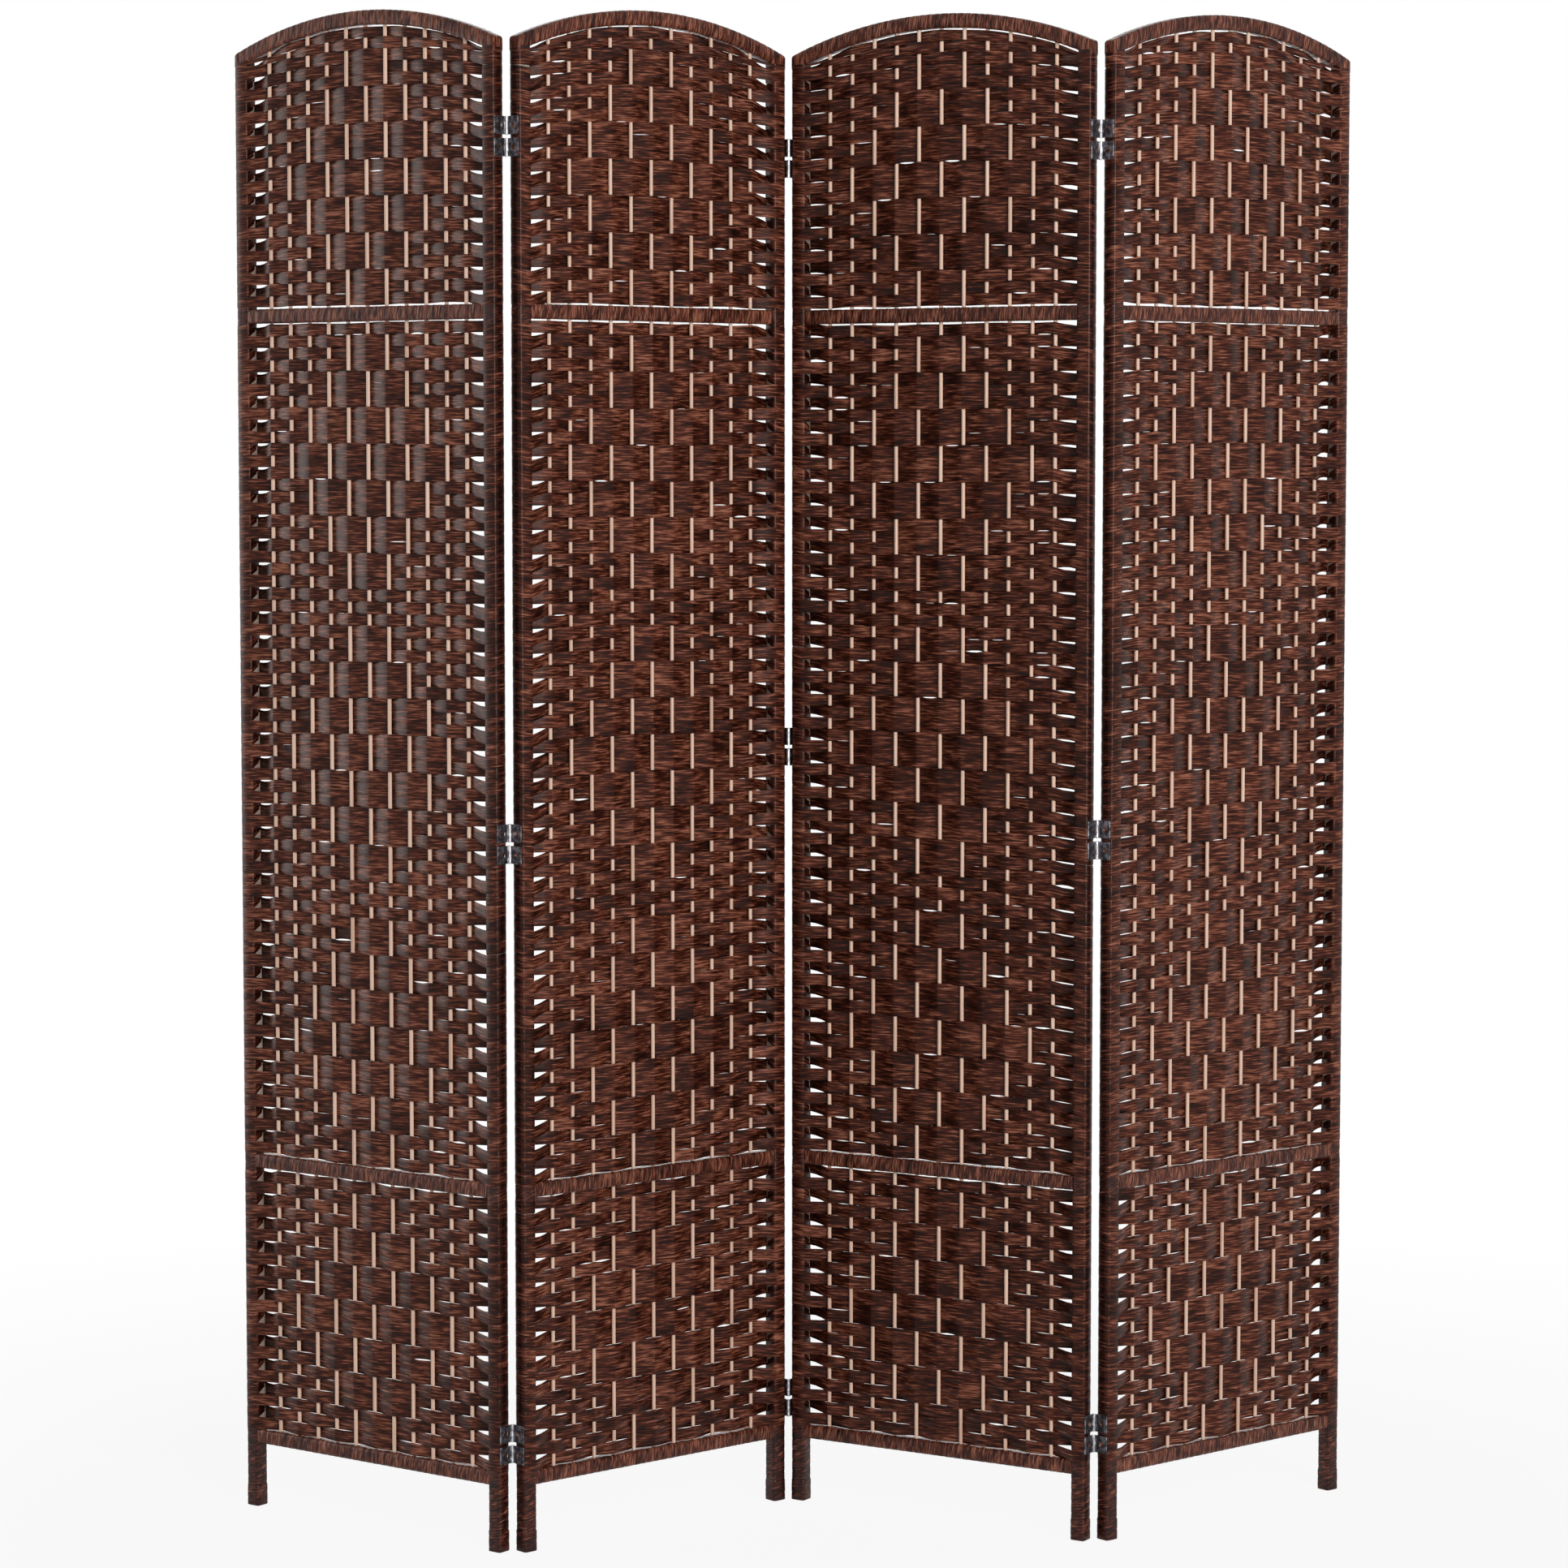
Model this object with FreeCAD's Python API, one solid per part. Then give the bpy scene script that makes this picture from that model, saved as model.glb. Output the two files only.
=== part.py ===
"""Folding room divider: four arched woven panels joined by three rows of small butt hinges.

Millimetres, +Z up.  The origin is on the floor, below the middle of the part as it stands
in its zigzag.  Each panel is drawn in its own frame first: x runs from its left post to its
right post, y from its front to its back, and z up from the floor.
"""
import FreeCAD, Part
import math
import os

from FreeCAD import Placement, Rotation, Vector

# Panel frame
overall_height = 1800.0
panel_width = 408.0
post_size = 19.0
post_corner_radius = 3.0
arch_rise = 33.0
post_top_drop = 10.0

# Rails, which end on the inner faces of the posts
rail_height = 17.5
rail_depth = 17.0
rail_chamfer = 2.5
leg_clearance = 78.0
lower_window_height = 322.0
upper_window_height = 294.0

# Upright rods, set in the rails
rod_count = 11
rod_diameter = 4.7
rod_sides = 8
rod_socket_depth = 8.0

# Woven bands, which pass in front of one rod and behind the next
weave_thickness = 1.2
weave_rod_gap = 0.2
weave_slit = 0.5
lower_band_count = 2
middle_band_count = 6
upper_band_count = 2

# Butt hinges: two stand one above the other at each of three heights on a fold
leaf_height = 21.0
leaf_thickness = 1.2
leaf_gap = 0.6
leaf_margin = 1.0
centre_knuckle_height = 8.0
knuckle_diameter = 4.7
barrel_sides = 12
knuckle_end_gap = 0.2
knuckle_clearance = 0.45
pin_face_gap = 0.15
pin_diameter = 2.4
pin_running_gap = 0.05
pin_proud = 0.4
unit_gap = 4.0
low_hinge_height = 127.0
outer_fold_middle_height = 832.0
outer_fold_top_drop = 111.0
inner_fold_middle_height = 928.0
inner_fold_top_drop = 120.0

# How the panels stand: the turn of each from the line of the whole part, in degrees
panel_turns = [-37.5, 41.1, -32.4, 40.9]

# Worked out from the sizes above
half_width = panel_width / 2
half_post = post_size / 2
inner_half = half_width - post_size
shoulder_height = overall_height - arch_rise
arch_radius = (inner_half ** 2 + arch_rise ** 2) / (2 * arch_rise)
arch_centre_height = overall_height - arch_radius
lower_crossbar_base = leg_clearance + rail_height + lower_window_height
upper_crossbar_base = shoulder_height - upper_window_height - 2 * rail_height
rod_radius = rod_diameter / 2
rod_pitch = 2 * inner_half / (rod_count + 1)
knuckle_radius = knuckle_diameter / 2
pin_radius = pin_diameter / 2
bore_radius = (pin_radius + pin_running_gap) / math.cos(math.pi / barrel_sides)
pin_offset = knuckle_radius + pin_face_gap
hinge_gap = leaf_gap + 2 * leaf_thickness
axis_x = half_width + hinge_gap / 2
axis_y = half_post + pin_offset
post_outer_height = shoulder_height - post_top_drop

UP = Vector(0, 0, 1)
BACK = Vector(0, 1, 0)
BACK_SIDE = 1
FRONT_SIDE = -1


def rounded_prism(half_x, half_y, radius, height):
    """An upright bar on the floor, centred on z, with four round corners."""
    edges = []
    corners = [(1, 1, 0), (-1, 1, 90), (-1, -1, 180), (1, -1, 270)]
    for sign_x, sign_y, start in corners:
        centre = Vector(sign_x * (half_x - radius), sign_y * (half_y - radius), 0)
        circle = Part.Circle(centre, UP, radius)
        edges.append(Part.Arc(circle, math.radians(start), math.radians(start + 90)).toShape())
    outline = []
    for index, arc in enumerate(edges):
        following = edges[(index + 1) % len(edges)]
        outline.append(arc)
        outline.append(Part.makeLine(arc.lastVertex().Point, following.firstVertex().Point))
    return Part.Face(Part.Wire(outline)).extrude(UP * height)


def front_view_prism(edges, depth):
    """A closed front view, drawn in x and z, made solid to the given depth about y = 0."""
    face = Part.Face(Part.Wire(edges))
    face.translate(BACK * (-depth / 2))
    return face.extrude(BACK * depth)


def lines_through(points):
    """Straight edges that join a row of points."""
    return [Part.makeLine(first, second) for first, second in zip(points, points[1:])]


def arch_height(radius, x):
    """Height of an arc about the centre of the arch, at a distance x from the middle."""
    return arch_centre_height + math.sqrt(radius ** 2 - x ** 2)


def arch_edge(radius):
    """The arc of one radius about the centre of the arch, between the posts."""
    left = Vector(-inner_half, 0, arch_height(radius, inner_half))
    top = Vector(0, 0, arch_height(radius, 0))
    right = Vector(inner_half, 0, arch_height(radius, inner_half))
    return Part.Arc(left, top, right).toShape()


def post(side):
    """A post wrapped in ribbon: round corners, and a slanted top that rises towards the arch."""
    stem = rounded_prism(half_post, half_post, post_corner_radius, shoulder_height)
    outer = Vector(side * half_post, 0, post_outer_height)
    inner = Vector(-side * half_post, 0, shoulder_height)
    above = Vector(side * half_post, 0, shoulder_height)
    wedge = front_view_prism(lines_through([outer, inner, above, outer]), post_size)
    shape = stem.cut(wedge)
    shape.translate(Vector(side * (half_width - half_post), 0, 0))
    return shape


def chamfered(bar):
    """A rail with the chamfer taken off its long edges, front and back."""
    long_edges = []
    for edge in bar.Edges:
        ends = edge.Vertexes
        runs_along = abs(ends[0].X - ends[1].X) > inner_half
        if runs_along:
            long_edges.append(edge)
    return bar.makeChamfer(rail_chamfer, long_edges)


def straight_rail(base):
    """A level rail between the posts, its underside at the given height."""
    corner = Vector(-inner_half, -rail_depth / 2, base)
    return chamfered(Part.makeBox(2 * inner_half, rail_depth, rail_height, corner))


def arch_rail():
    """The bowed top rail, of one height all along, its ends upright on the posts."""
    outer = arch_edge(arch_radius)
    under = arch_edge(arch_radius - rail_height)
    left = Part.makeLine(under.firstVertex().Point, outer.firstVertex().Point)
    right = Part.makeLine(outer.lastVertex().Point, under.lastVertex().Point)
    return chamfered(front_view_prism([left, outer, right, under], rail_depth))


def rod_places():
    """The x of each rod, evenly spaced between the posts."""
    return [rod_pitch * (index + 1) - inner_half for index in range(rod_count)]


def ring_face(radius, sides):
    """A level face whose corners lie on a circle, for thin round bars drawn with few flats."""
    corners = []
    for index in range(sides + 1):
        angle = 2 * math.pi * (index + 1 / 2) / sides
        corners.append(Vector(radius * math.cos(angle), radius * math.sin(angle), 0))
    return Part.Face(Part.makePolygon(corners))


def rods():
    """Rods from a socket in the bottom rail, through both crossbars, to a socket in the arch."""
    base = leg_clearance + rail_height - rod_socket_depth
    solids = []
    for x in rod_places():
        top = arch_height(arch_radius - rail_height, x) + rod_socket_depth
        rod = ring_face(rod_radius, rod_sides).extrude(UP * (top - base))
        rod.translate(Vector(x, 0, base))
        solids.append(rod)
    return Part.makeCompound(solids)


def band(base, height, side):
    """One woven band: it leaves both posts on one side and changes sides between the rods."""
    post_offset = half_post - post_corner_radius - weave_thickness / 2
    rod_offset = rod_radius + weave_rod_gap + weave_thickness / 2
    places = [-inner_half + weave_slit] + rod_places() + [inner_half - weave_slit]
    offsets = [side * post_offset]
    for index in range(rod_count):
        offsets.append(-side * rod_offset * (-1) ** index)
    offsets.append(side * post_offset)
    near = [Vector(x, y - weave_thickness / 2, base) for x, y in zip(places, offsets)]
    far = [Vector(x, y + weave_thickness / 2, base) for x, y in zip(places, offsets)]
    outline = near + far[::-1] + near[:1]
    return Part.Face(Part.makePolygon(outline)).extrude(UP * height)


def woven_window(base, height, count):
    """Bands stacked in a window between two rails, each on the other side from the last."""
    pitch = (height - weave_slit) / count
    bands = []
    for index in range(count):
        side = FRONT_SIDE if index % 2 == 0 else BACK_SIDE
        bands.append(band(base + weave_slit + index * pitch, pitch - weave_slit, side))
    return bands


def upper_weave():
    """The bands under the arch: the last one runs up to the arch and is trimmed to its curve."""
    base = upper_crossbar_base + rail_height
    bands = woven_window(base, upper_window_height, upper_band_count)
    last_base = bands[-1].BoundBox.ZMin
    last_side = FRONT_SIDE if upper_band_count % 2 == 1 else BACK_SIDE
    tall = band(last_base, overall_height - last_base, last_side)
    trim = arch_edge(arch_radius - rail_height - weave_slit)
    left = trim.firstVertex().Point
    right = trim.lastVertex().Point
    low_left = Vector(left.x, 0, base)
    low_right = Vector(right.x, 0, base)
    below_arch = front_view_prism([trim] + lines_through([right, low_right, low_left, left]), post_size)
    bands[-1] = tall.common(below_arch).Solids[0]
    return Part.makeCompound(bands)


def leaf(x_side, y_side, outer_knuckles):
    """A hinge leaf about its pin, from z = 0 up.

    x_side is the side of the gap that the leaf's post is on, and y_side the side of the panel
    that the pin is on.  The strip lies on the post and curls into the knuckles.  A leaf has
    the two outer knuckles, which grip the pin, or the centre one, which turns on it.
    """
    near_gap = x_side * leaf_gap / 2
    on_post = x_side * (leaf_gap / 2 + leaf_thickness)
    reach = knuckle_radius + knuckle_clearance
    far_edge = pin_offset + post_size - leaf_margin
    outer_height = (leaf_height - centre_knuckle_height) / 2 - knuckle_end_gap

    strip_y = [-y_side * far_edge, -y_side * reach]
    strip = Part.makeBox(leaf_thickness, far_edge - reach, leaf_height,
                         Vector(min(near_gap, on_post), min(strip_y), 0))

    start = math.asin(on_post / knuckle_radius)
    sweep = math.copysign(2 * math.pi, x_side) - start + math.asin(near_gap / knuckle_radius)
    outline = [Vector(near_gap, -y_side * reach, 0), Vector(on_post, -y_side * reach, 0)]
    for index in range(barrel_sides):
        angle = start + sweep * index / (barrel_sides - 1)
        outline.append(Vector(math.sin(angle), -y_side * math.cos(angle), 0) * knuckle_radius)
    outline.append(outline[0])
    curl = Part.Face(Part.makePolygon(outline))

    if outer_knuckles:
        spans = [(0, outer_height), (leaf_height - outer_height, outer_height)]
    else:
        curl = curl.cut(ring_face(bore_radius, barrel_sides))
        base = outer_height + knuckle_end_gap
        spans = [(base + knuckle_end_gap / 2, leaf_height - 2 * base - knuckle_end_gap)]
    shape = strip
    for base, height in spans:
        knuckle = curl.extrude(UP * height)
        knuckle.translate(UP * base)
        shape = shape.fuse(knuckle)
    return shape.removeSplitter()


def hinge_row(fold, x_side):
    """The leaves of one fold on one panel, and the pins that those leaves grip."""
    leaves = []
    pins = []
    unit_rise = unit_gap / 2
    for height in fold["heights"]:
        for is_upper in (False, True):
            base = height + unit_rise if is_upper else height - unit_rise - leaf_height
            grips = (x_side == fold["upper_grip_side"]) == is_upper
            place = Vector(-x_side * axis_x, fold["pin_side"] * axis_y, base)
            one = leaf(x_side, fold["pin_side"], grips)
            one.translate(place)
            leaves.append(one)
            if grips:
                pin = ring_face(pin_radius, barrel_sides).extrude(UP * (leaf_height + 2 * pin_proud))
                pin.translate(place - UP * pin_proud)
                pins.append(pin)
    return Part.makeCompound(leaves), Part.makeCompound(pins)


outer_fold_heights = [low_hinge_height, outer_fold_middle_height, post_outer_height - outer_fold_top_drop]
inner_fold_heights = [low_hinge_height, inner_fold_middle_height, post_outer_height - inner_fold_top_drop]

# The panel on the left of a fold has its leaves at x_side -1, the one on the right at 1
LEFT_LEAF = -1
RIGHT_LEAF = 1
folds = [
    {"name": "fold_1_2", "pin_side": BACK_SIDE, "upper_grip_side": RIGHT_LEAF, "heights": outer_fold_heights},
    {"name": "fold_2_3", "pin_side": FRONT_SIDE, "upper_grip_side": LEFT_LEAF, "heights": inner_fold_heights},
    {"name": "fold_3_4", "pin_side": BACK_SIDE, "upper_grip_side": RIGHT_LEAF, "heights": outer_fold_heights},
]


def turned(x, y, turn):
    """A point of a panel's plan after the panel's turn about z."""
    angle = math.radians(turn)
    return Vector(x * math.cos(angle) - y * math.sin(angle), x * math.sin(angle) + y * math.cos(angle), 0)


def panel_centres():
    """The middle of each panel: every next panel hangs on the pins of the fold before it."""
    centres = [Vector(0, 0, 0)]
    for fold, turn, next_turn in zip(folds, panel_turns, panel_turns[1:]):
        pins = centres[-1] + turned(axis_x, fold["pin_side"] * axis_y, turn)
        centres.append(pins - turned(-axis_x, fold["pin_side"] * axis_y, next_turn))
    return centres


def plan_middle(centres):
    """The middle of the plan, from the round corners of the posts."""
    corner_x = half_width - post_corner_radius
    corner_y = half_post - post_corner_radius
    corners = []
    for centre, turn in zip(centres, panel_turns):
        for sign_x in (-1, 1):
            for sign_y in (-1, 1):
                corners.append(centre + turned(sign_x * corner_x, sign_y * corner_y, turn))
    low_x = min(point.x for point in corners) - post_corner_radius
    high_x = max(point.x for point in corners) + post_corner_radius
    low_y = min(point.y for point in corners) - post_corner_radius
    high_y = max(point.y for point in corners) + post_corner_radius
    return Vector((low_x + high_x) / 2, (low_y + high_y) / 2, 0)


def panel_pieces():
    """Every piece of one panel but its hinge leaves, by name, in the panel's own frame."""
    lower_base = leg_clearance + rail_height
    middle_base = lower_crossbar_base + rail_height
    lower_bands = woven_window(lower_base, lower_window_height, lower_band_count)
    middle_bands = woven_window(middle_base, upper_crossbar_base - middle_base, middle_band_count)
    return {
        "left_post": post(-1),
        "right_post": post(1),
        "arch_rail": arch_rail(),
        "upper_crossbar": straight_rail(upper_crossbar_base),
        "lower_crossbar": straight_rail(lower_crossbar_base),
        "bottom_rail": straight_rail(leg_clearance),
        "rods": rods(),
        "upper_weave": upper_weave(),
        "middle_weave": Part.makeCompound(middle_bands),
        "lower_weave": Part.makeCompound(lower_bands),
    }


def write_piece(name, shape, placement):
    """Put one piece in its place and write it to its own file."""
    placed = shape.copy()
    placed.Placement = placement.multiply(placed.Placement)
    placed.exportStep(os.path.join("parts", name + ".step"))


os.makedirs("parts", exist_ok=True)
centres = panel_centres()
middle = plan_middle(centres)
placements = []
for centre, turn in zip(centres, panel_turns):
    placements.append(Placement(centre - middle, Rotation(UP, turn)))

pieces = panel_pieces()
for number, placement in enumerate(placements, start=1):
    for piece_name, piece in pieces.items():
        write_piece("panel_{}_{}".format(number, piece_name), piece, placement)

for index, fold in enumerate(folds):
    for side_name, x_side, placement in (("left", LEFT_LEAF, placements[index]),
                                         ("right", RIGHT_LEAF, placements[index + 1])):
        leaves, pins = hinge_row(fold, x_side)
        write_piece("{}_{}_leaves".format(fold["name"], side_name), leaves, placement)
        write_piece("{}_{}_pins".format(fold["name"], side_name), pins, placement)
    axis = placements[index].multVec(Vector(axis_x, fold["pin_side"] * axis_y, 0))
    print(fold["name"], "axis at", round(axis.x, 4), round(axis.y, 4))

for number, placement in enumerate(placements, start=1):
    print("panel", number, "middle at", round(placement.Base.x, 4), round(placement.Base.y, 4))
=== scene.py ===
"""Folding room divider: four arched woven panels joined by three rows of butt hinges.

Lengths are millimetres in each panel's own frame (x from its left post to its right post,
y from front to back, z up from the floor).  A piece becomes metres in the shared frame when
its mesh is made.
"""
from __future__ import annotations

import logging
import math
from dataclasses import dataclass, field
from enum import Enum
from typing import Any, Mapping, Sequence

import bpy
import numpy as np
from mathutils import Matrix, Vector

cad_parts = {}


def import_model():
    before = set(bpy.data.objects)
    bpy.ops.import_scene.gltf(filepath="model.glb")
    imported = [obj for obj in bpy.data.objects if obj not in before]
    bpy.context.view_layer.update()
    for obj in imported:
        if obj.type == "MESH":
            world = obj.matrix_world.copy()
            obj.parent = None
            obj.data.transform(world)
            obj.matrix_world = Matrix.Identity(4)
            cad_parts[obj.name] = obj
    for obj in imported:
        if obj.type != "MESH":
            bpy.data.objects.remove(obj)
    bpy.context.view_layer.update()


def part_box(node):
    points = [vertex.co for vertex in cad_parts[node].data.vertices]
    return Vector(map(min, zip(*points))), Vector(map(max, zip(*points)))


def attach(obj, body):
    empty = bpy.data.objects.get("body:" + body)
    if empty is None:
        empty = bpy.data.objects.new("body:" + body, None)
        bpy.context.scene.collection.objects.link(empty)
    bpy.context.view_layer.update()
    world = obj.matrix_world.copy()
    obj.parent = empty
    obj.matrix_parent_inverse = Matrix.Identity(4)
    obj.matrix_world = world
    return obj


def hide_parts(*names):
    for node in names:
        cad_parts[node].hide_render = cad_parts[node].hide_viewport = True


LOG = logging.getLogger("room_divider")
MM = 0.001
TOUCH = 0.01
SEED = 7100

Triple = tuple[float, float, float]
Colour = Triple
Pair = tuple[float, float]
Lifts = tuple[float, float, float, float]
Stops = Sequence[tuple[float, Colour]]
Draws = np.random.Generator


class Side(Enum):
    """A side of a panel or of a fold, as the sign of x."""

    LEFT = -1
    RIGHT = 1

    @property
    def word(self) -> str:
        """The side's name in lower case."""
        return self.name.lower()


# Shader building


class Shade:
    """A shader socket that takes arithmetic: an expression adds its Math nodes."""

    def __init__(self, bench: "Bench", socket: bpy.types.NodeSocket | None) -> None:
        """Keep the socket, if the node has one, and the bench that holds its node tree."""
        self.bench = bench
        self.socket = socket

    def _math(self, operation: str, first: Any, second: Any) -> "Shade":
        """One Math node on two shades or numbers."""
        return self.bench.node("Math", {"operation": operation}, {0: first, 1: second})

    def __add__(self, other: Any) -> "Shade":
        """This plus another."""
        return self._math("ADD", self, other)

    __radd__ = __add__

    def __sub__(self, other: Any) -> "Shade":
        """This less another."""
        return self._math("SUBTRACT", self, other)

    def __rsub__(self, other: Any) -> "Shade":
        """Another less this."""
        return self._math("SUBTRACT", other, self)

    def __mul__(self, other: Any) -> "Shade":
        """This times another."""
        return self._math("MULTIPLY", self, other)

    __rmul__ = __mul__

    def clamped(self) -> "Shade":
        """This held between 0 and 1."""
        return self._math("MINIMUM", self._math("MAXIMUM", self, 0.0), 1.0)

    def above(self, edge: float, softness: float) -> "Shade":
        """0 below an edge and 1 above it, with a soft step of the given width."""
        return ((self - edge) * (1.0 / softness)).clamped()


class Bench:
    """Builds the node tree of one material or world."""

    def __init__(self, tree: bpy.types.NodeTree) -> None:
        """Start with an empty tree."""
        self.tree = tree
        tree.nodes.clear()

    def node(
        self,
        kind: str,
        settings: Mapping[str, Any] | None = None,
        inputs: Mapping[int | str, Any] | None = None,
        output: int | str = 0,
    ) -> Shade:
        """Add a node of any type.

        Args:
            kind: The node's type name, without the ShaderNode that all begin with.
            settings: Its properties, set first; "stops" are a ramp's (position, colour) pairs.
            inputs: Values or shades for its sockets, by index or name.
            output: The output that the returned shade stands for.

        Returns:
            The chosen output as a shade.
        """
        made = self.tree.nodes.new(f"ShaderNode{kind}")
        for name, value in (settings or {}).items():
            if name == "stops":
                self._set_stops(made.color_ramp, value)
            else:
                setattr(made, name, value)
        for key, value in (inputs or {}).items():
            socket = made.inputs[key]
            if isinstance(value, Shade):
                self.tree.links.new(value.socket, socket)
            elif isinstance(value, tuple) and len(value) == 3 and socket.type == "RGBA":
                socket.default_value = (*value, 1.0)
            else:
                socket.default_value = value
        return Shade(self, made.outputs[output] if made.outputs else None)

    @staticmethod
    def _set_stops(ramp: bpy.types.ColorRamp, stops: Stops) -> None:
        """Give a colour ramp exactly these stops.

        Args:
            ramp: The ramp, which always keeps at least one stop.
            stops: Positions between 0 and 1 with their colours, rising.
        """
        while len(ramp.elements) > 1:
            ramp.elements.remove(ramp.elements[-1])
        ramp.elements[0].position = stops[0][0]
        ramp.elements[0].color = (*stops[0][1], 1.0)
        for position, colour in stops[1:]:
            ramp.elements.new(position).color = (*colour, 1.0)

    def noise(self, place: Shade, pace: Triple, detail: float, roughness: float = 0.6) -> Shade:
        """Cloudy noise between about 0 and 1.

        Args:
            place: Where on the surface.
            pace: How many clouds come in one unit of length, along each axis.
            detail: How many finer layers lie on the first.
            roughness: How strong the finer layers are.

        Returns:
            The noise as a shade.
        """
        spread = self.node("VectorMath", {"operation": "MULTIPLY"}, {0: place, 1: pace})
        inputs = {"Vector": spread, "Scale": 1.0, "Detail": detail, "Roughness": roughness}
        return self.node("TexNoise", {}, inputs, "Fac")

    def ramp(self, value: Shade, stops: Stops) -> Shade:
        """Colours picked by a value along a ramp."""
        return self.node("ValToRGB", {"stops": stops}, {0: value}, "Color")

    def blend(self, factor: Any, first: Any, second: Any) -> Shade:
        """Two colours mixed by a factor."""
        return self.node("Mix", {"data_type": "RGBA"}, {0: factor, 6: first, 7: second}, 2)

    def bump(self, height: Shade, distance: float) -> Shade:
        """A normal that follows a height, whose full range stands for a distance in metres."""
        return self.node("Bump", {}, {"Height": height, "Distance": distance, "Strength": 1.0})

    def seen(self) -> Shade:
        """Tell the rays that show the white background: camera, glossy and transmission rays.

        Returns:
            1 for such a ray and 0 for any other.
        """
        kinds = ("Is Camera Ray", "Is Glossy Ray", "Is Transmission Ray")
        camera, glossy, through = (self.node("LightPath", {}, {}, kind) for kind in kinds)
        return (camera + glossy + through).clamped()

    def surface(self, sockets: Mapping[str, Any]) -> None:
        """Finish with a principled shader on the surface output."""
        shader = self.node("BsdfPrincipled", {}, sockets)
        self.node("OutputMaterial", {}, {"Surface": shader})


class Finish:
    """A surface finish that can make its own material."""

    name: str = "finish"

    def paint(self, bench: Bench) -> None:
        """Build the node tree."""
        raise NotImplementedError

    @staticmethod
    def uneven(noise: Shade, mean: float, spread: float = 0.3) -> Shade:
        """A roughness that a noise moves about its mean."""
        return (noise * spread + (mean - spread / 2)).clamped()

    def material(self) -> bpy.types.Material:
        """Find the finish's material, or make it on first use.

        Returns:
            The material, painted.
        """
        found = bpy.data.materials.get(self.name)
        if found is None:
            found = bpy.data.materials.new(self.name)
            found.use_nodes = True
            self.paint(Bench(found.node_tree))
        return found


@dataclass(frozen=True)
class RibbonFinish(Finish):
    """Dark brown ribbon with fine streaks along its length, read from the ribbon's own map."""

    name: str = "brown_ribbon"
    tones: Stops = (
        (0.02, (0.006, 0.0011, 0.0006)), (0.36, (0.032, 0.0058, 0.0024)),
        (0.68, (0.108, 0.027, 0.0135)), (1.0, (0.28, 0.108, 0.066)),
    )
    streak_length: float = 0.024
    streak_width: float = 0.0019
    thread_width: float = 0.00065
    fine_pace: float = 1.1
    cloud_paces: Pair = (0.9, 0.34)
    crack_paces: Pair = (0.45, 0.7)
    streak_parts: Triple = (0.46, 0.32, 0.22)
    height_parts: Pair = (0.6, 0.4)
    contrast: float = 5.3
    brightness: float = 0.03
    crack_edge: float = 0.58
    crack_softness: float = 0.07
    crack_depth: float = 0.42
    roughness: float = 0.32
    gloss: float = 0.17
    gloss_tint: Colour = (1.0, 0.78, 0.72)
    relief: float = 0.0001

    def paint(self, bench: Bench) -> None:
        """Streaks in two widths and dark cracks, with a tone that changes from turn to turn.

        Args:
            bench: The bench that takes the nodes.
        """
        place = bench.node("UVMap", {"uv_map": "ribbon"})
        length, width, thread = 1 / self.streak_length, 1 / self.streak_width, 1 / self.thread_width
        broad = bench.noise(place, (length, width, 1.0), 2.0)
        fine = bench.noise(place, (length * self.fine_pace, thread, 1.0), 2.0, 0.7)
        along, across = self.cloud_paces
        cloud = bench.noise(place, (length * along, width * across, 1.0), 1.0)
        along, across = self.crack_paces
        crack = bench.noise(place, (length * along, thread * across, 1.0), 1.0)
        # The tone also carries the painted shade that the weave sets on tails, on runs behind posts and on
        # whole panels, and the darker posts and outer faces.
        tone = bench.node("Attribute", {"attribute_name": "tone"}, {}, "Fac")
        broad_part, fine_part, cloud_part = self.streak_parts
        mixed = broad * broad_part + fine * fine_part + cloud * cloud_part
        level = (mixed - 0.5) * self.contrast + tone + self.brightness
        level = level - crack.above(self.crack_edge, self.crack_softness) * self.crack_depth
        colour = bench.ramp(level, self.tones)
        broad_part, fine_part = self.height_parts
        height = broad * broad_part + fine * fine_part
        bench.surface({
            "Base Color": colour,
            "Roughness": self.uneven(fine, self.roughness),
            "Specular IOR Level": self.gloss,
            "Specular Tint": self.gloss_tint,
            "Normal": bench.bump(height, self.relief),
        })


@dataclass(frozen=True)
class PaleWoodFinish(Finish):
    """Pale straight-grained wood of the rods and of the posts under their ribbon; the posts take a darker
    copy, painted shade.
    """

    name: str = "pale_wood"
    light: Colour = (0.76, 0.54, 0.42)
    mid: Colour = (0.67, 0.45, 0.34)
    vein: Colour = (0.45, 0.265, 0.18)
    grain_pace: Triple = (900.0, 900.0, 14.0)
    drift_pace: Triple = (25.0, 25.0, 3.0)
    grain_part: float = 0.7
    drift_part: float = 0.3
    stops: Triple = (0.3, 0.48, 0.66)
    roughness: float = 0.5
    relief: float = 0.0001

    def paint(self, bench: Bench) -> None:
        """Grain drawn out along z, with slow changes from rod to rod.

        Args:
            bench: The bench that takes the nodes.
        """
        place = bench.node("TexCoord", {}, {}, "Object")
        grain = bench.noise(place, self.grain_pace, 3.0)
        drift = bench.noise(place, self.drift_pace, 1.0)
        level = grain * self.grain_part + drift * self.drift_part
        tones = tuple(zip(self.stops, (self.vein, self.mid, self.light)))
        bench.surface({
            "Base Color": bench.ramp(level, tones),
            "Roughness": self.uneven(grain, self.roughness),
            "Normal": bench.bump(grain, self.relief),
        })


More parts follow.
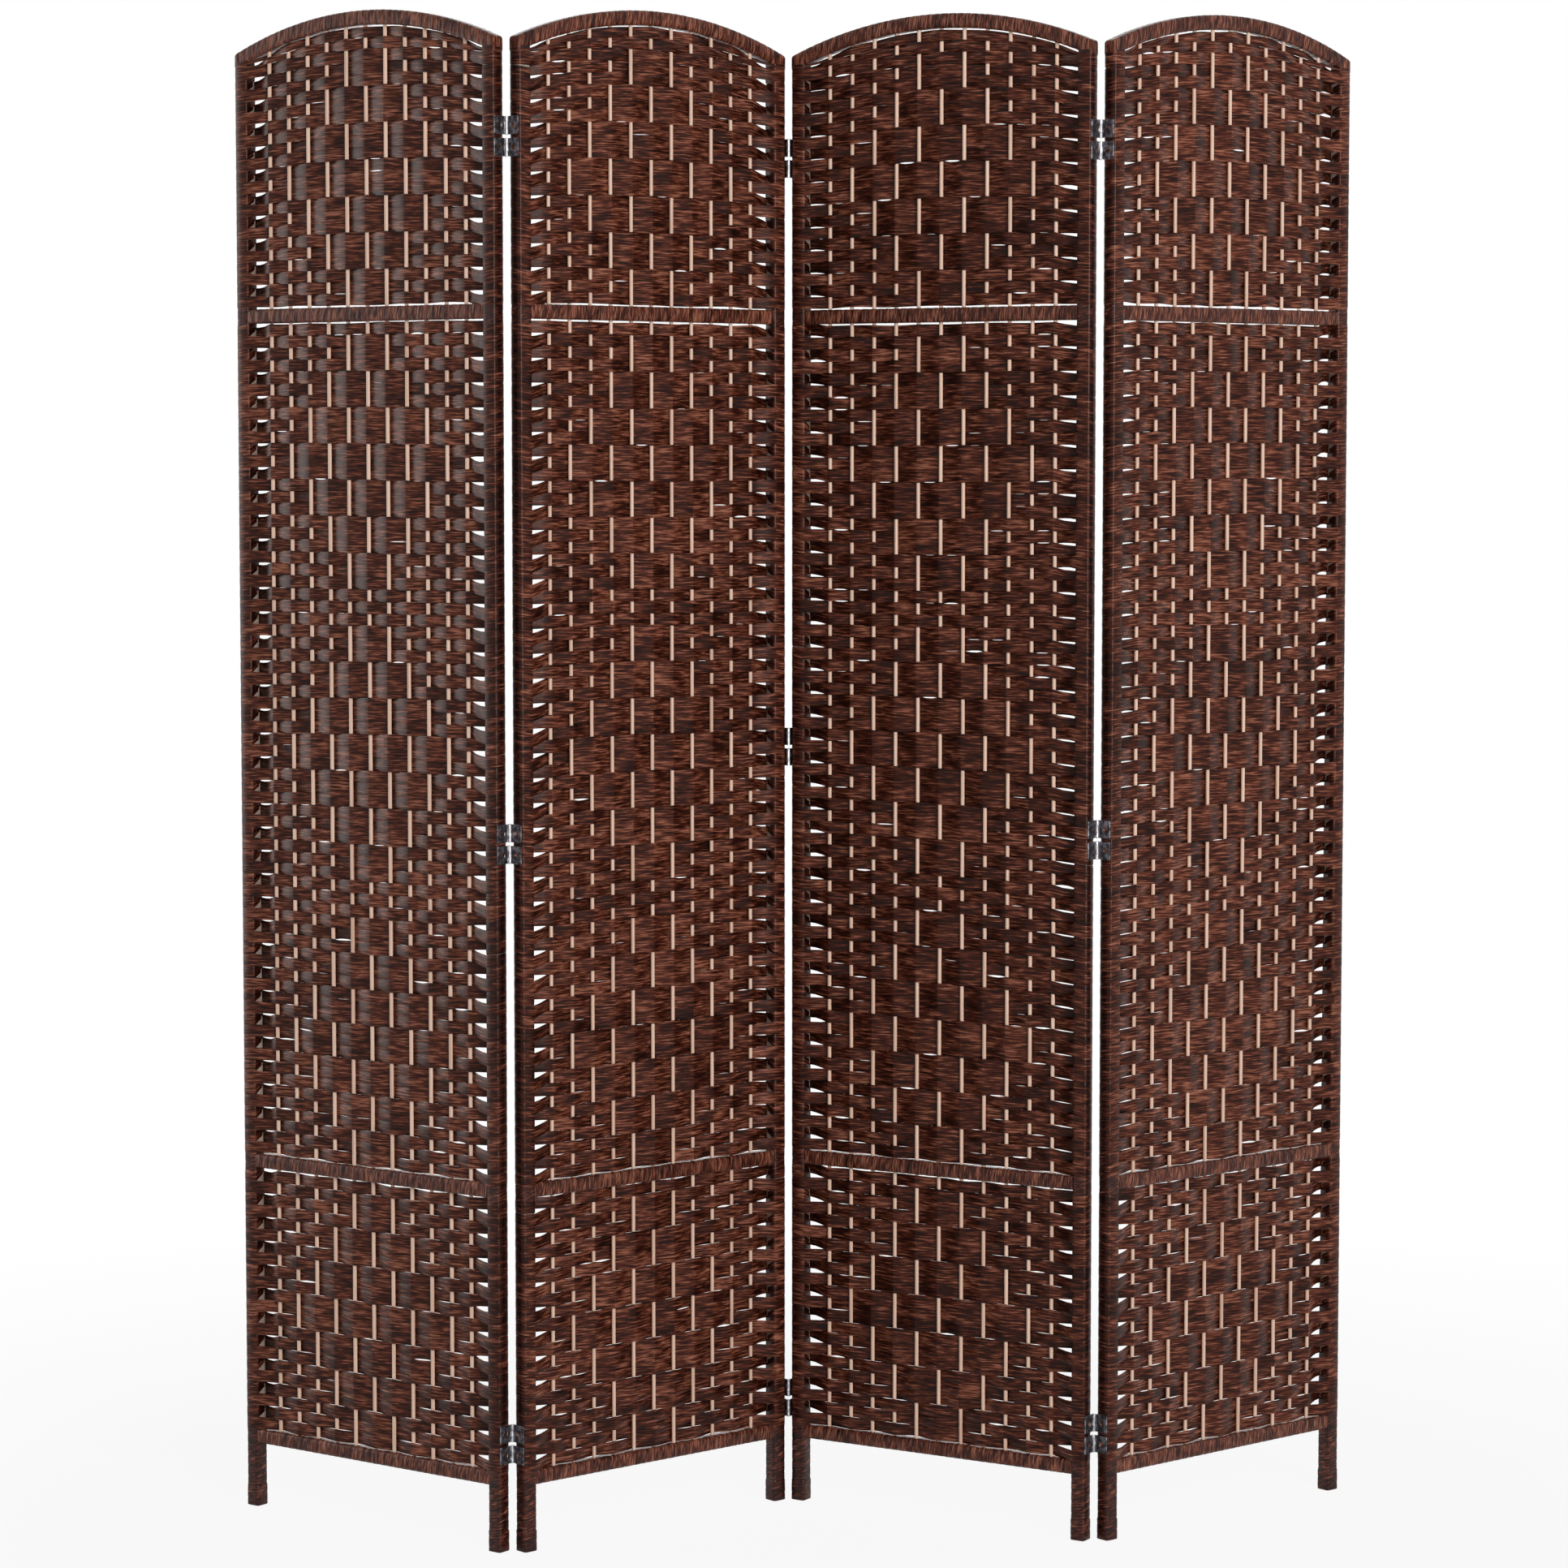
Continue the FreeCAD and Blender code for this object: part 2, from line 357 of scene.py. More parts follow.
@dataclass(frozen=True)
class MetalFinish(Finish):
    """Plain metal with brush marks, dull spots and a little tarnish."""

    name: str = "dark_steel"
    bright: Colour = (0.26, 0.25, 0.27)
    dull: Colour = (0.05, 0.047, 0.052)
    brush_pace: Triple = (2600.0, 2600.0, 260.0)
    tarnish_pace: Triple = (170.0, 170.0, 170.0)
    tarnish_edge: Pair = (0.42, 0.25)
    least_roughness: float = 0.2
    brush_roughness: float = 0.28
    tarnish_roughness: float = 0.15
    relief: float = 0.00004

    def paint(self, bench: Bench) -> None:
        """Brush marks along z over slow clouds of tarnish.

        Args:
            bench: The bench that takes the nodes.
        """
        place = bench.node("TexCoord", {}, {}, "Object")
        brush = bench.noise(place, self.brush_pace, 2.0)
        cloud = bench.noise(place, self.tarnish_pace, 2.0)
        colour = bench.blend(cloud.above(*self.tarnish_edge), self.dull, self.bright)
        roughness = brush * self.brush_roughness + (1 - cloud) * self.tarnish_roughness
        bench.surface({
            "Base Color": colour,
            "Metallic": 1.0,
            "Roughness": (roughness + self.least_roughness).clamped(),
            "Normal": bench.bump(brush, self.relief),
        })


@dataclass(frozen=True)
class FloorFinish(Finish):
    """Pale studio floor that the camera sees as nearly white, with the object's shadow kept."""

    name: str = "studio_floor"
    colour: Colour = (0.45, 0.45, 0.45)
    speck_depth: float = 0.98
    near_glow: float = 0.92
    shadow_reach: float = 0.9
    fade: float = 1.3

    def paint(self, bench: Bench) -> None:
        """A matt floor whose glow, for rays that show the background, grows away from the object.

        Args:
            bench: The bench that takes the nodes.
        """
        place = bench.node("TexCoord", {}, {}, "Object")
        away = bench.node("VectorMath", {"operation": "LENGTH"}, {0: place}, "Value")
        glow = away.above(self.shadow_reach, self.fade) * (1 - self.near_glow) + self.near_glow
        speck = bench.noise(place, (3.0, 3.0, 3.0), 2.0)
        colour = bench.blend(speck, tuple(part * self.speck_depth for part in self.colour), self.colour)
        matt = bench.node("BsdfDiffuse", {}, {"Color": colour})
        white = bench.node("Emission", {}, {"Color": (1.0, 1.0, 1.0), "Strength": 1.0})
        both = bench.node("MixShader", {}, {0: bench.seen() * glow, 1: matt, 2: white})
        bench.node("OutputMaterial", {}, {"Surface": both})


RIBBON = RibbonFinish()
WOUND = RibbonFinish(
    name="wound_ribbon", streak_length=0.016, relief=0.00007, gloss=0.22, gloss_tint=(1.0, 0.92, 0.92)
)
PALE_WOOD = PaleWoodFinish()
# A darker copy of the pale wood for the bare posts, which show only in the boxes beside them: painted shade.
SHADED_POST_WOOD = PaleWoodFinish("post_wood", (0.4, 0.31, 0.26), (0.29, 0.22, 0.18), (0.16, 0.12, 0.1))
STEEL = MetalFinish()
# A lighter copy of the hinge steel for the round knuckles and the pins: painted highlight for the light that
# they catch.
STEEL_PAINTED_HIGHLIGHT = MetalFinish(
    name="worn_steel", bright=(0.66, 0.65, 0.67), dull=(0.3, 0.29, 0.3), least_roughness=0.1
)
COPPER = MetalFinish(
    name="screw_copper", bright=(0.28, 0.13, 0.085), dull=(0.05, 0.03, 0.025), least_roughness=0.22
)
FLOOR = FloorFinish()


# Surfaces


@dataclass(frozen=True)
class PanelPlace:
    """Where one panel stands: its middle on the floor in metres, and its turn in radians."""

    number: int
    middle: Pair
    turn: float

    @property
    def body(self) -> str:
        """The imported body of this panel."""
        return f"panel_{self.number}"

    def to_frame(self, points: np.ndarray) -> np.ndarray:
        """Turn points about z by the panel's turn, then move them by its middle.

        Args:
            points: Points in the panel's own frame, in mm, along the last axis.

        Returns:
            The same points in metres in the shared frame.
        """
        cosine, sine = math.cos(self.turn), math.sin(self.turn)
        x, y, z = (points[..., axis] * MM for axis in range(3))
        return np.stack(
            [x * cosine - y * sine + self.middle[0], x * sine + y * cosine + self.middle[1], z], axis=-1
        )


def new_object(name: str, data: Any) -> bpy.types.Object:
    """Put a new object into the scene.

    Args:
        name: Its name.
        data: The mesh, lamp or camera that it shows.

    Returns:
        The object.
    """
    made = bpy.data.objects.new(name, data)
    bpy.context.scene.collection.objects.link(made)
    return made


def corner_values(grid: np.ndarray) -> np.ndarray:
    """The four corner values of each face of a grid, in the order of the face's corners."""
    return np.stack([grid[:-1, :-1], grid[1:, :-1], grid[1:, 1:], grid[:-1, 1:]], axis=-1)


def ribbon_places(along: np.ndarray, across: np.ndarray) -> np.ndarray:
    """Places on the ribbon of every face's corners, from a grid of each of its two directions."""
    return np.stack([corner_values(grid) for grid in np.broadcast_arrays(along, across)], axis=-1)


class Shell:
    """Closed tubes of points gathered into one mesh, with ribbon places and tones."""

    def __init__(self) -> None:
        """Start with nothing."""
        kinds = ("points", "corners", "sizes", "places", "tones", "slots")
        self._kept: dict[str, list[np.ndarray]] = {kind: [] for kind in kinds}
        self._count = 0

    def _keep(self, **arrays: np.ndarray) -> None:
        """Keep an array of each kind given."""
        for kind, array in arrays.items():
            self._kept[kind].append(array)

    def _all(self, kind: str, number: type) -> np.ndarray:
        """Everything kept of one kind, as numbers of one type."""
        return np.concatenate(self._kept[kind]).astype(number)

    def add_tube(
        self,
        points: np.ndarray,
        places: np.ndarray | None = None,
        tone: Any = 0.5,
        slot: Any = 0,
        ring: bool = False,
    ) -> None:
        """Add a tube: points[i, j] is corner j of section i, and each section closes on itself.

        Args:
            points: An array of shape (sections, corners, 3) in mm.
            places: Ribbon places in mm of each face's corners, shape (faces i, faces j, 4, 2).
            tone: A number, or one for each face.
            slot: The material slot, one number or one for each face.
            ring: True if the last section joins the first, and False for flat end caps.
        """
        sections, corners = points.shape[:2]
        index = np.arange(sections * corners).reshape(sections, corners)
        index = np.concatenate([index, index[:, :1]], axis=1)
        if ring:
            index = np.concatenate([index, index[:1]], axis=0)
        grid = (len(index) - 1, corners)
        quads = corner_values(index).reshape(-1, 4)
        flat = points.reshape(-1, 3)
        way = -1 if self._volume(flat, quads) < 0 else 1
        if places is None:
            places = np.zeros((*grid, 4, 2))
        tones, slots = (np.broadcast_to(value, grid).reshape(-1) for value in (tone, slot))
        self._keep(
            points=flat, corners=quads[:, ::way].reshape(-1) + self._count,
            sizes=np.full(len(quads), 4), tones=tones, slots=slots,
            places=places.reshape(-1, 4, 2)[:, ::way].reshape(-1, 2),
        )
        ends = () if ring else ((0, way, 0), (sections - 1, -way, -corners))
        for section, step, face in ends:
            cap = index[section, :corners][::step]
            x, y, z = flat[cap].T
            self._keep(
                corners=cap + self._count, sizes=np.array([corners]), tones=tones[[face]],
                slots=slots[[face]], places=np.stack([z + x, y], axis=1),
            )
        self._count += len(flat)

    @staticmethod
    def _volume(points: np.ndarray, quads: np.ndarray) -> float:
        """Six times the volume inside the faces: the sum over triangles of a . (b x c).

        Args:
            points: All points, measured here from their middle.
            quads: The four corners of each face.

        Returns:
            The sum, which is below 0 where the faces look inwards.
        """
        at = points - points.mean(axis=0)
        a, b, c, d = (at[quads[:, corner]] for corner in range(4))
        return float((a * np.cross(b, c)).sum() + (a * np.cross(c, d)).sum())

    def build(
        self,
        name: str,
        place: PanelPlace,
        finishes: Sequence[Finish],
        material_slot: str,
        replaces: Sequence[str] = (),
        sharp_angle: float = 45.0,
    ) -> None:
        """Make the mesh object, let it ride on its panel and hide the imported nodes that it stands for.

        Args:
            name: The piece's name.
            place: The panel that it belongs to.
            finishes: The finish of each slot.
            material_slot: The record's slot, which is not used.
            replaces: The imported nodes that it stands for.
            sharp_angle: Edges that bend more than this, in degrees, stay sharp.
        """
        points = place.to_frame(np.concatenate(self._kept["points"])).astype(np.float32)
        corners, sizes = self._all("corners", np.int32), self._all("sizes", np.int32)
        mesh = bpy.data.meshes.new(name)
        mesh.vertices.add(len(points))
        mesh.loops.add(len(corners))
        mesh.polygons.add(len(sizes))
        mesh.vertices.foreach_set("co", points.ravel())
        mesh.loops.foreach_set("vertex_index", corners)
        mesh.polygons.foreach_set("loop_start", (np.cumsum(sizes) - sizes).astype(np.int32))
        mesh.polygons.foreach_set("loop_total", sizes)
        mesh.polygons.foreach_set("use_smooth", np.ones(len(sizes), dtype=bool))
        mesh.polygons.foreach_set("material_index", self._all("slots", np.int32))
        mesh.update(calc_edges=True)
        places = (np.concatenate(self._kept["places"]) * MM).astype(np.float32)
        mesh.uv_layers.new(name="ribbon").data.foreach_set("uv", places.ravel())
        tone = mesh.attributes.new("tone", "FLOAT", "FACE")
        tone.data.foreach_set("value", self._all("tones", np.float32))
        mesh.set_sharp_from_angle(angle=math.radians(sharp_angle))
        for finish in finishes:
            mesh.materials.append(finish.material())
        piece = new_object(name, mesh)
        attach(piece, place.body)
        if replaces:
            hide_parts(*replaces)
        LOG.info("%s: %d faces", name, len(sizes))


@dataclass(frozen=True)
class RoundedRing:
    """A rectangle with round corners as a ring of points, with outward directions."""

    half_width: float
    half_height: float
    radius: float
    corner_steps: int = 3
    side_steps: int = 3

    def points(self) -> tuple[np.ndarray, np.ndarray]:
        """Arcs about the four corner centres, joined by sides cut into equal lengths.

        Returns:
            Points and outward unit directions, each of shape (corners, 2), going from the
            middle of the right side up and round.
        """
        centres = np.array([[1, 1], [-1, 1], [-1, -1], [1, -1]], dtype=float)
        reach = np.array([self.half_width - self.radius, self.half_height - self.radius])
        places, ways = [], []
        for corner, centre in enumerate(centres):
            angle = np.radians(np.linspace(0, 90, self.corner_steps + 1) + 90 * corner)
            way = np.stack([np.cos(angle), np.sin(angle)], axis=1)
            place = centre * reach + way * self.radius
            following = centres[(corner + 1) % 4] * reach + way[-1] * self.radius
            share = (np.arange(1, self.side_steps) / self.side_steps)[:, None]
            places += [place, place[-1] + (following - place[-1]) * share]
            ways += [way, np.repeat(way[-1:], self.side_steps - 1, axis=0)]
        return np.concatenate(places), np.concatenate(ways)


def ring_lengths(points: np.ndarray) -> np.ndarray:
    """Distance round a closed ring of points, from its first point back to it."""
    steps = np.linalg.norm(np.roll(points, -1, axis=0) - points, axis=1)
    return np.concatenate([[0.0], np.cumsum(steps)])


# The panel's sizes


@dataclass(frozen=True)
class PanelSizes:
    """The panel's driving sizes, as in the construction model."""

    height: float = 1800.0
    width: float = 408.0
    post: float = 19.0
    arch_rise: float = 33.0
    post_top_drop: float = 10.0
    rail_height: float = 17.5
    rail_depth: float = 17.0
    leg: float = 78.0
    lower_window: float = 322.0
    upper_window: float = 294.0
    rod_count: int = 11
    rod_diameter: float = 4.7

    @property
    def half_width(self) -> float:
        """From the panel's middle to its outer edge."""
        return self.width / 2

    @property
    def inner_half(self) -> float:
        """From the panel's middle to a post's inner face."""
        return self.half_width - self.post

    @property
    def shoulder(self) -> float:
        """Height of the arch's ends."""
        return self.height - self.arch_rise

    @property
    def arch_radius(self) -> float:
        """Radius of the arch's upper edge, through its ends and its top."""
        return (self.inner_half**2 + self.arch_rise**2) / (2 * self.arch_rise)

    @property
    def rod_pitch(self) -> float:
        """Distance between neighbouring rods."""
        return 2 * self.inner_half / (self.rod_count + 1)

    @property
    def lower_bar(self) -> float:
        """Underside of the lower crossbar."""
        return self.leg + self.rail_height + self.lower_window

    @property
    def upper_bar(self) -> float:
        """Underside of the upper crossbar."""
        return self.shoulder - self.upper_window - 2 * self.rail_height

    def arch_height(self, drop: float, x: np.ndarray | float) -> np.ndarray:
        """Height of the arc that runs a given drop below the arch's upper edge."""
        centre = self.height - self.arch_radius
        return centre + np.sqrt((self.arch_radius - drop) ** 2 - np.square(x))


SIZES = PanelSizes()


# Wound rails


@dataclass
class WoundBar:
    """A rail wrapped turn by turn in ribbon, straight or bowed like the arch."""

    name: str
    base: float
    sizes: PanelSizes = SIZES
    bowed: bool = False
    overlap: float = 1.2
    turn_width: float = 11.0
    turn_relief: float = 0.5
    lean: float = 1.1
    corner_radius: float = 3.2
    end_taper: float = 14.0
    turn_widths: Pair = (0.75, 1.25)
    turn_heights: Pair = (0.7, 1.0)
    tone: float = 0.56
    tone_spread: float = 0.07
    ribbon_span: float = 4000.0
    start_slant: float = 0.37

    WITHIN = (0.0, 0.16, 0.5, 0.84)
    SWELL = (0.0, 0.82, 1.0, 0.74)

    @property
    def reach(self) -> float:
        """From the panel's middle to the rail's end, which lies on or in the post."""
        return self.sizes.inner_half + self.overlap

    def _edges(self, share: np.ndarray) -> tuple[np.ndarray, np.ndarray]:
        """Find the under and upper edge.

        The arch takes equal angles on both of its arcs, so that its ends stand upright.

        Args:
            share: From -1 to 1 of the way along.

        Returns:
            The two edges, each as x and z along the last axis.
        """
        if not self.bowed:
            x = share * self.reach
            low = np.full_like(x, self.base)
            return np.stack([x, low], -1), np.stack([x, low + self.sizes.rail_height], -1)
        found = []
        for drop in (self.sizes.rail_height, 0.0):
            radius = self.sizes.arch_radius - drop
            x = radius * np.sin(share * math.asin(self.reach / radius))
            found.append(np.stack([x, self.sizes.arch_height(drop, x)], -1))
        return found[0], found[1]

    def add_to(self, shell: Shell, rng: Draws) -> None:
        """Carry a rounded section along the rail, swelling and sinking once in each turn.

        At the shares WITHIN of a turn the ribbon stands out by SWELL times its relief, and the
        sections lean, so that the turns cross the rail at a slant.

        Args:
            shell: The shell that takes the tube.
            rng: The panel's random draws.
        """
        count = int(2 * self.reach / self.turn_width)
        widths = rng.uniform(*self.turn_widths, count)
        bounds = np.concatenate([[0.0], np.cumsum(widths)]) / widths.sum() * 2 - 1
        share = (bounds[:-1, None] + np.array(self.WITHIN) * np.diff(bounds)[:, None]).ravel()
        relief = (np.array(self.SWELL) * rng.uniform(*self.turn_heights, (count, 1))).ravel()
        share, relief = np.append(share, 1.0), np.append(relief, 0.0)
        turn = np.repeat(np.arange(count), len(self.WITHIN))
        half_height = self.sizes.rail_height / 2 - self.turn_relief
        half_depth = self.sizes.rail_depth / 2 - self.turn_relief
        section, ways = RoundedRing(half_height, half_depth, self.corner_radius).points()
        taper = np.clip((1 - np.abs(share)) * self.end_taper, 0, 1)[:, None]
        slant = -self.lean * section[:, 0] * section[:, 1] / section.max() ** 2
        under, upper = self._edges(share[:, None] + taper * slant / self.reach)
        middle, up = (under + upper) / 2, upper - under
        tall = np.linalg.norm(up, axis=-1, keepdims=True)
        swollen = section + ways * (relief * self.turn_relief)[:, None, None]
        rise = swollen[..., :1] * tall / self.sizes.rail_height
        flat = middle + up / tall * rise
        points = np.stack([flat[..., 0], swollen[..., 1], flat[..., 1]], axis=-1)
        start = rng.uniform(0, self.ribbon_span, count)[turn][:, None, None, None] * (1.0, self.start_slant)
        places = ribbon_places(ring_lengths(section), share[:, None] * self.reach) + start
        tone = rng.normal(self.tone, self.tone_spread, count)[turn][:, None]
        shell.add_tube(points, places, tone)


# Wound posts


@dataclass
class WoundPost:
    """A post under its ribbon: a helical wrap on the leg, by the rails and at the top."""

    side: Side
    sizes: PanelSizes = SIZES
    core_half: float = 8.3
    leg_half: float = 9.05
    foot_half: float = 9.5
    foot_height: float = 25.0
    foot_ease: float = 0.8
    ease_height: float = 0.7
    foot_step: float = 0.5
    corner_share: float = 0.3
    wrap_pitch: float = 13.4
    wrap_relief: float = 0.42
    wrap_shift: float = 61.0
    wrap_start: float = 0.13
    wrap_length: float = 9.0
    spare_turns: int = 100
    top_wrap: float = 14.0
    run_in: float = 7.0
    step: float = 1.5
    tones: Pair = (0.22, 0.42)

    RISE_AT = (0.0, 0.1, 0.3, 0.88, 1.0)
    RISE = (0.0, 0.75, 1.0, 0.8, 0.0)

    @property
    def centre(self) -> float:
        """The x of the post's middle."""
        return self.side.value * (self.sizes.half_width - self.sizes.post / 2)

    @property
    def top(self) -> float:
        """The post ends inside the arch, which runs on over it."""
        return self.sizes.shoulder - self.sizes.rail_height - 2 * self.wrap_relief

    def _wound_spans(self) -> list[Pair]:
        """List where the wrap shows: on the leg, by the crossbars and at the top.

        Returns:
            Pairs of heights.
        """
        sizes, run_in = self.sizes, self.run_in
        rail = sizes.rail_height
        return [
            (0.0, sizes.leg + rail + run_in),
            (sizes.lower_bar - run_in, sizes.lower_bar + rail + run_in),
            (sizes.upper_bar - run_in, sizes.upper_bar + rail + run_in),
            (self.top - self.top_wrap, self.top),
        ]

    def _heights(self) -> np.ndarray:
        """Choose section heights: close together where the wrap shows, and far apart elsewhere.

        Returns:
            The heights, rising.
        """
        spans = self._wound_spans()
        heights = [np.linspace(low, high, max(2, round((high - low) / self.step))) for low, high in spans]
        heights[0][1] = self.ease_height
        clear = 2 * self.wrap_relief
        foot = [self.foot_height - self.foot_step, self.foot_height + self.foot_step]
        beyond = [low - clear for low, _ in spans[1:]] + [high + clear for _, high in spans[:-1]]
        return np.unique(np.concatenate([*heights, foot, beyond]).round(3))

    def _half_widths(self, z: np.ndarray) -> np.ndarray:
        """Find half of the post's width, without the wrap's relief.

        Args:
            z: Heights of sections.

        Returns:
            Half of the width at each.
        """
        half = np.full_like(z, self.core_half)
        for low, high in self._wound_spans():
            half[(z >= low - TOUCH) & (z <= high + TOUCH)] = self.leg_half - self.wrap_relief
        half[z <= self.foot_height] = self.foot_half - self.wrap_relief
        return half

    def add_to(self, shell: Shell, rng: Draws) -> None:
        """Carry a rounded square up the post; each turn of ribbon rises to the right and overlaps.

        A turn is the whole part of height / pitch less the share of the way round. Across its
        width the ribbon stands out by RISE, at the shares RISE_AT, times its relief.

        Args:
            shell: The shell that takes the tube.
            rng: The panel's random draws.
        """
        z = self._heights()
        unit, ways = RoundedRing(1.0, 1.0, self.corner_share).points()
        half = self._half_widths(z)
        wrapped = half > self.core_half + TOUCH
        lengths = ring_lengths(unit)
        winding = z[:, None] / self.wrap_pitch - lengths / lengths[-1]
        part = (winding + self.wrap_start * self.side.value) % 1
        relief = np.where(wrapped[:, None], np.interp(part, self.RISE_AT, self.RISE), 0.0)[:, :-1]
        flat = unit * half[:, None, None] + ways * (relief * self.wrap_relief)[..., None]
        flat[0] = unit * (half[0] - self.foot_ease)
        height = np.broadcast_to(z[:, None, None], (*flat.shape[:2], 1))
        points = np.concatenate([flat, height], axis=-1)
        points[..., 0] += self.centre
        places = ribbon_places(lengths * self.wrap_length, winding)
        turn = np.floor(places[..., 1].mean(axis=-1))
        places = (places + turn[..., None, None] * (self.wrap_shift, -1.0)) * (1.0, self.wrap_pitch)
        tone = rng.uniform(*self.tones, 4 * self.spare_turns)[turn.astype(int) + self.spare_turns]
        # The bare post takes the second slot, the darker post wood: painted shade.
        bare = ~(wrapped[1:] & wrapped[:-1])[:, None]
        shell.add_tube(points, places, tone, bare.astype(int))


# Woven rows


@dataclass(frozen=True)
class WeaveHabits:
    """How one panel was woven, in mm where it isn't a share.

    Gaps are the room over the first row of a window and under its last.  Lifts say how far a
    row stands above its own level in front of the left post and behind it, and in front of the
    right post and behind it.  Run-outs are the shares of those lifts that are left at the two
    stations beside a post.  The post darkening makes the ribbon darker on the left and on the
    right post.  The panel's shade makes all its ribbon darker: painted shade, most on the two
    middle panels, which face each other across the middle fold.
    """

    upper_gaps: Pair
    middle_gaps: Pair
    lower_gaps: Pair
    slit_share: float
    lifts: Lifts
    lower_lifts: Lifts
    run_outs: tuple[Pair, Pair]
    tail_climb: float
    stains: Pair
    shade: float


@dataclass
class RibbonLine:
    """Stations along a row's middle line, from left to right.

    Each has its x and y, its lift, its share of the full thickness, how much darker it is (painted shade on a
    tail or on a run behind a post, and a darker post or outer face), and
    its place: 0 and 12 on the posts, c on rod c, and c and a half in the gap after it.
    """

    path: np.ndarray
    lift: np.ndarray
    thick: np.ndarray
    stain: np.ndarray
    place: np.ndarray

    def mirrored(self, place: float) -> "RibbonLine":
        """Turn the line over to the panel's other side: x turns round, and the last comes first.

        Args:
            place: The place of the turned stations.

        Returns:
            The turned line.
        """
        turned = RibbonLine(*(values[::-1] for values in vars(self).values()))
        turned.path = turned.path * (-1.0, 1.0)
        turned.place = np.full(len(self.place), place)
        return turned

    @staticmethod
    def joined(lines: Sequence["RibbonLine"]) -> "RibbonLine":
        """Several lines, one after another, as one."""
        columns = zip(*(vars(line).values() for line in lines))
        return RibbonLine(*(np.concatenate(column) for column in columns))


@dataclass
class WovenWindow:
    """Rows of flat ribbon woven over and under the rods between two rails.

    Row k counts down from the top, and place c counts 0 for the left post, 1 to 11 for the
    rods and 12 for the right post.  A diamond is seven groups of three rows: in the middle of
    a group, near the panel's middle, all three rows pass the rods alike.  A window without a
    top ends under the arch.
    """

    name: str
    base: float
    top: float | None
    rows: int
    parity: int
    diamonds: tuple[int, ...]
    gaps: Pair
    sag: float
    lifts: Lifts
    habits: WeaveHabits
    sizes: PanelSizes = SIZES
    thickness: float = 0.9
    rod_gap: float = 0.25
    crease: float = 0.9
    bow: float = 0.22
    swell: float = 0.62
    lap: float = 0.16
    post_lap: float = 0.7
    wrap_half: float = 9.3
    wrap_radius: float = 2.8
    tail_reach: float = 4.0
    tail_thickness: float = 0.35
    turn_shares: Pair = (0.34, 0.66)
    sag_power: float = 0.7
    fray: float = 0.4
    fray_mean: float = 1.2
    fray_paces: Pair = (4, 9)
    wave_count: int = 4
    wave_sizes: Pair = (0.3, 0.6)
    wave_lengths: Pair = (60.0, 160.0)
    wave_heights: Pair = (60.0, 220.0)
    arch_pitch: float = 14.2
    arch_squeeze: float = 0.6
    # How much darker the ribbon is made on a post's outer face.
    outer_stain: float = 0.14
    # Painted shade on the post's tail.
    tail_stain: float = 0.3
    # Painted shade on the two stations of a run behind a post, fading away from it.
    run_stain: float = 0.14
    run_fade: Pair = (1.0, 0.6)
    slit_width: float = 0.5
    slit_spread: float = 1.7
    slit_power: float = 2.5
    slit_chances: Triple = (0.45, 1.3, 0.12)
    arch_rows: int = 3
    arch_stretch: float = 0.2
    stretches: Pair = (0.84, 1.14)
    pleat: float = 0.18
    wrap_wander: float = 0.35
    ribbon_width: float = 14.3
    ribbon_span: Pair = (5000.0, 500.0)
    row_tone: float = 0.045
    gap_tone: float = 0.075

    GROUP_WIDTHS = (1, 2, 3, 4, 3, 2, 1)
    LENS_ACROSS = (0.0, 0.08, 0.35, 0.65, 0.92, 1.0, 0.92, 0.65, 0.35, 0.08)
    LENS_THROUGH = (0.0, -0.36, -0.5, -0.5, -0.36, 0.0, 0.36, 0.5, 0.5, 0.36)

    @property
    def last_place(self) -> int:
        """The right post's place."""
        return self.sizes.rod_count + 1

    def in_front(self) -> np.ndarray:
        """Lay out the pattern: neighbours differ, but for the diamonds' middle rows.

        Returns:
            True where a row passes in front of a rod or post, shape (rows, places).
        """
        place = np.arange(self.last_place + 1)
        front = (np.arange(self.rows)[:, None] + place + self.parity) % 2 == 0
        for start in self.diamonds:
            for group, half_width in enumerate(self.GROUP_WIDTHS):
                centre_row = start + 3 * group + 1
                inside = np.abs(place - self.last_place // 2) <= half_width
                front[centre_row, inside] = front[centre_row - 1, inside]
        return front

    def edges(self, x: np.ndarray, waves: np.ndarray) -> np.ndarray:
        """Find the height of every row's upper edge, and of the last one's lower edge.

        Rows share the window evenly and sag a little in slow waves.  Under the arch the first
        two rows take what the others leave, and are squeezed towards the posts.

        Args:
            x: Places across the panel.
            waves: A line for each wave: its size, its length across and up, and its turn.

        Returns:
            Heights of shape (rows + 1, places).
        """
        inside = np.clip(x, -self.sizes.inner_half, self.sizes.inner_half)
        low = self.base + self.gaps[1]
        number = np.arange(self.rows + 1)[:, None]
        if self.top is not None:
            high = self.top - self.gaps[0]
            edges = high - (high - low) * number / self.rows + 0 * inside[None, :]
        else:
            pitch = self.arch_pitch - self.arch_squeeze * (inside / self.sizes.inner_half) ** 2
            edges = low + (self.rows - number) * pitch[None, :]
            edges[0] = self.sizes.arch_height(self.sizes.rail_height + self.gaps[0], inside)
            edges[1] = (edges[0] + edges[2]) / 2
        ripple = sum(
            np.sin(inside * pace / wave[1] + wave[3]) for pace, wave in zip(self.fray_paces, waves)
        )
        edges[0] += self.fray * (ripple - self.fray_mean)
        edges[-1] += self.fray * (ripple + self.fray_mean)
        share = (edges - low) / (edges[:1] - low)
        wave = sum(
            size * np.sin(inside[None, :] / length + edges / tall + turn)
            for size, length, tall, turn in waves
        )
        return edges + self.sag * wave * np.sin(np.pi * np.clip(share, 0, 1)) ** self.sag_power

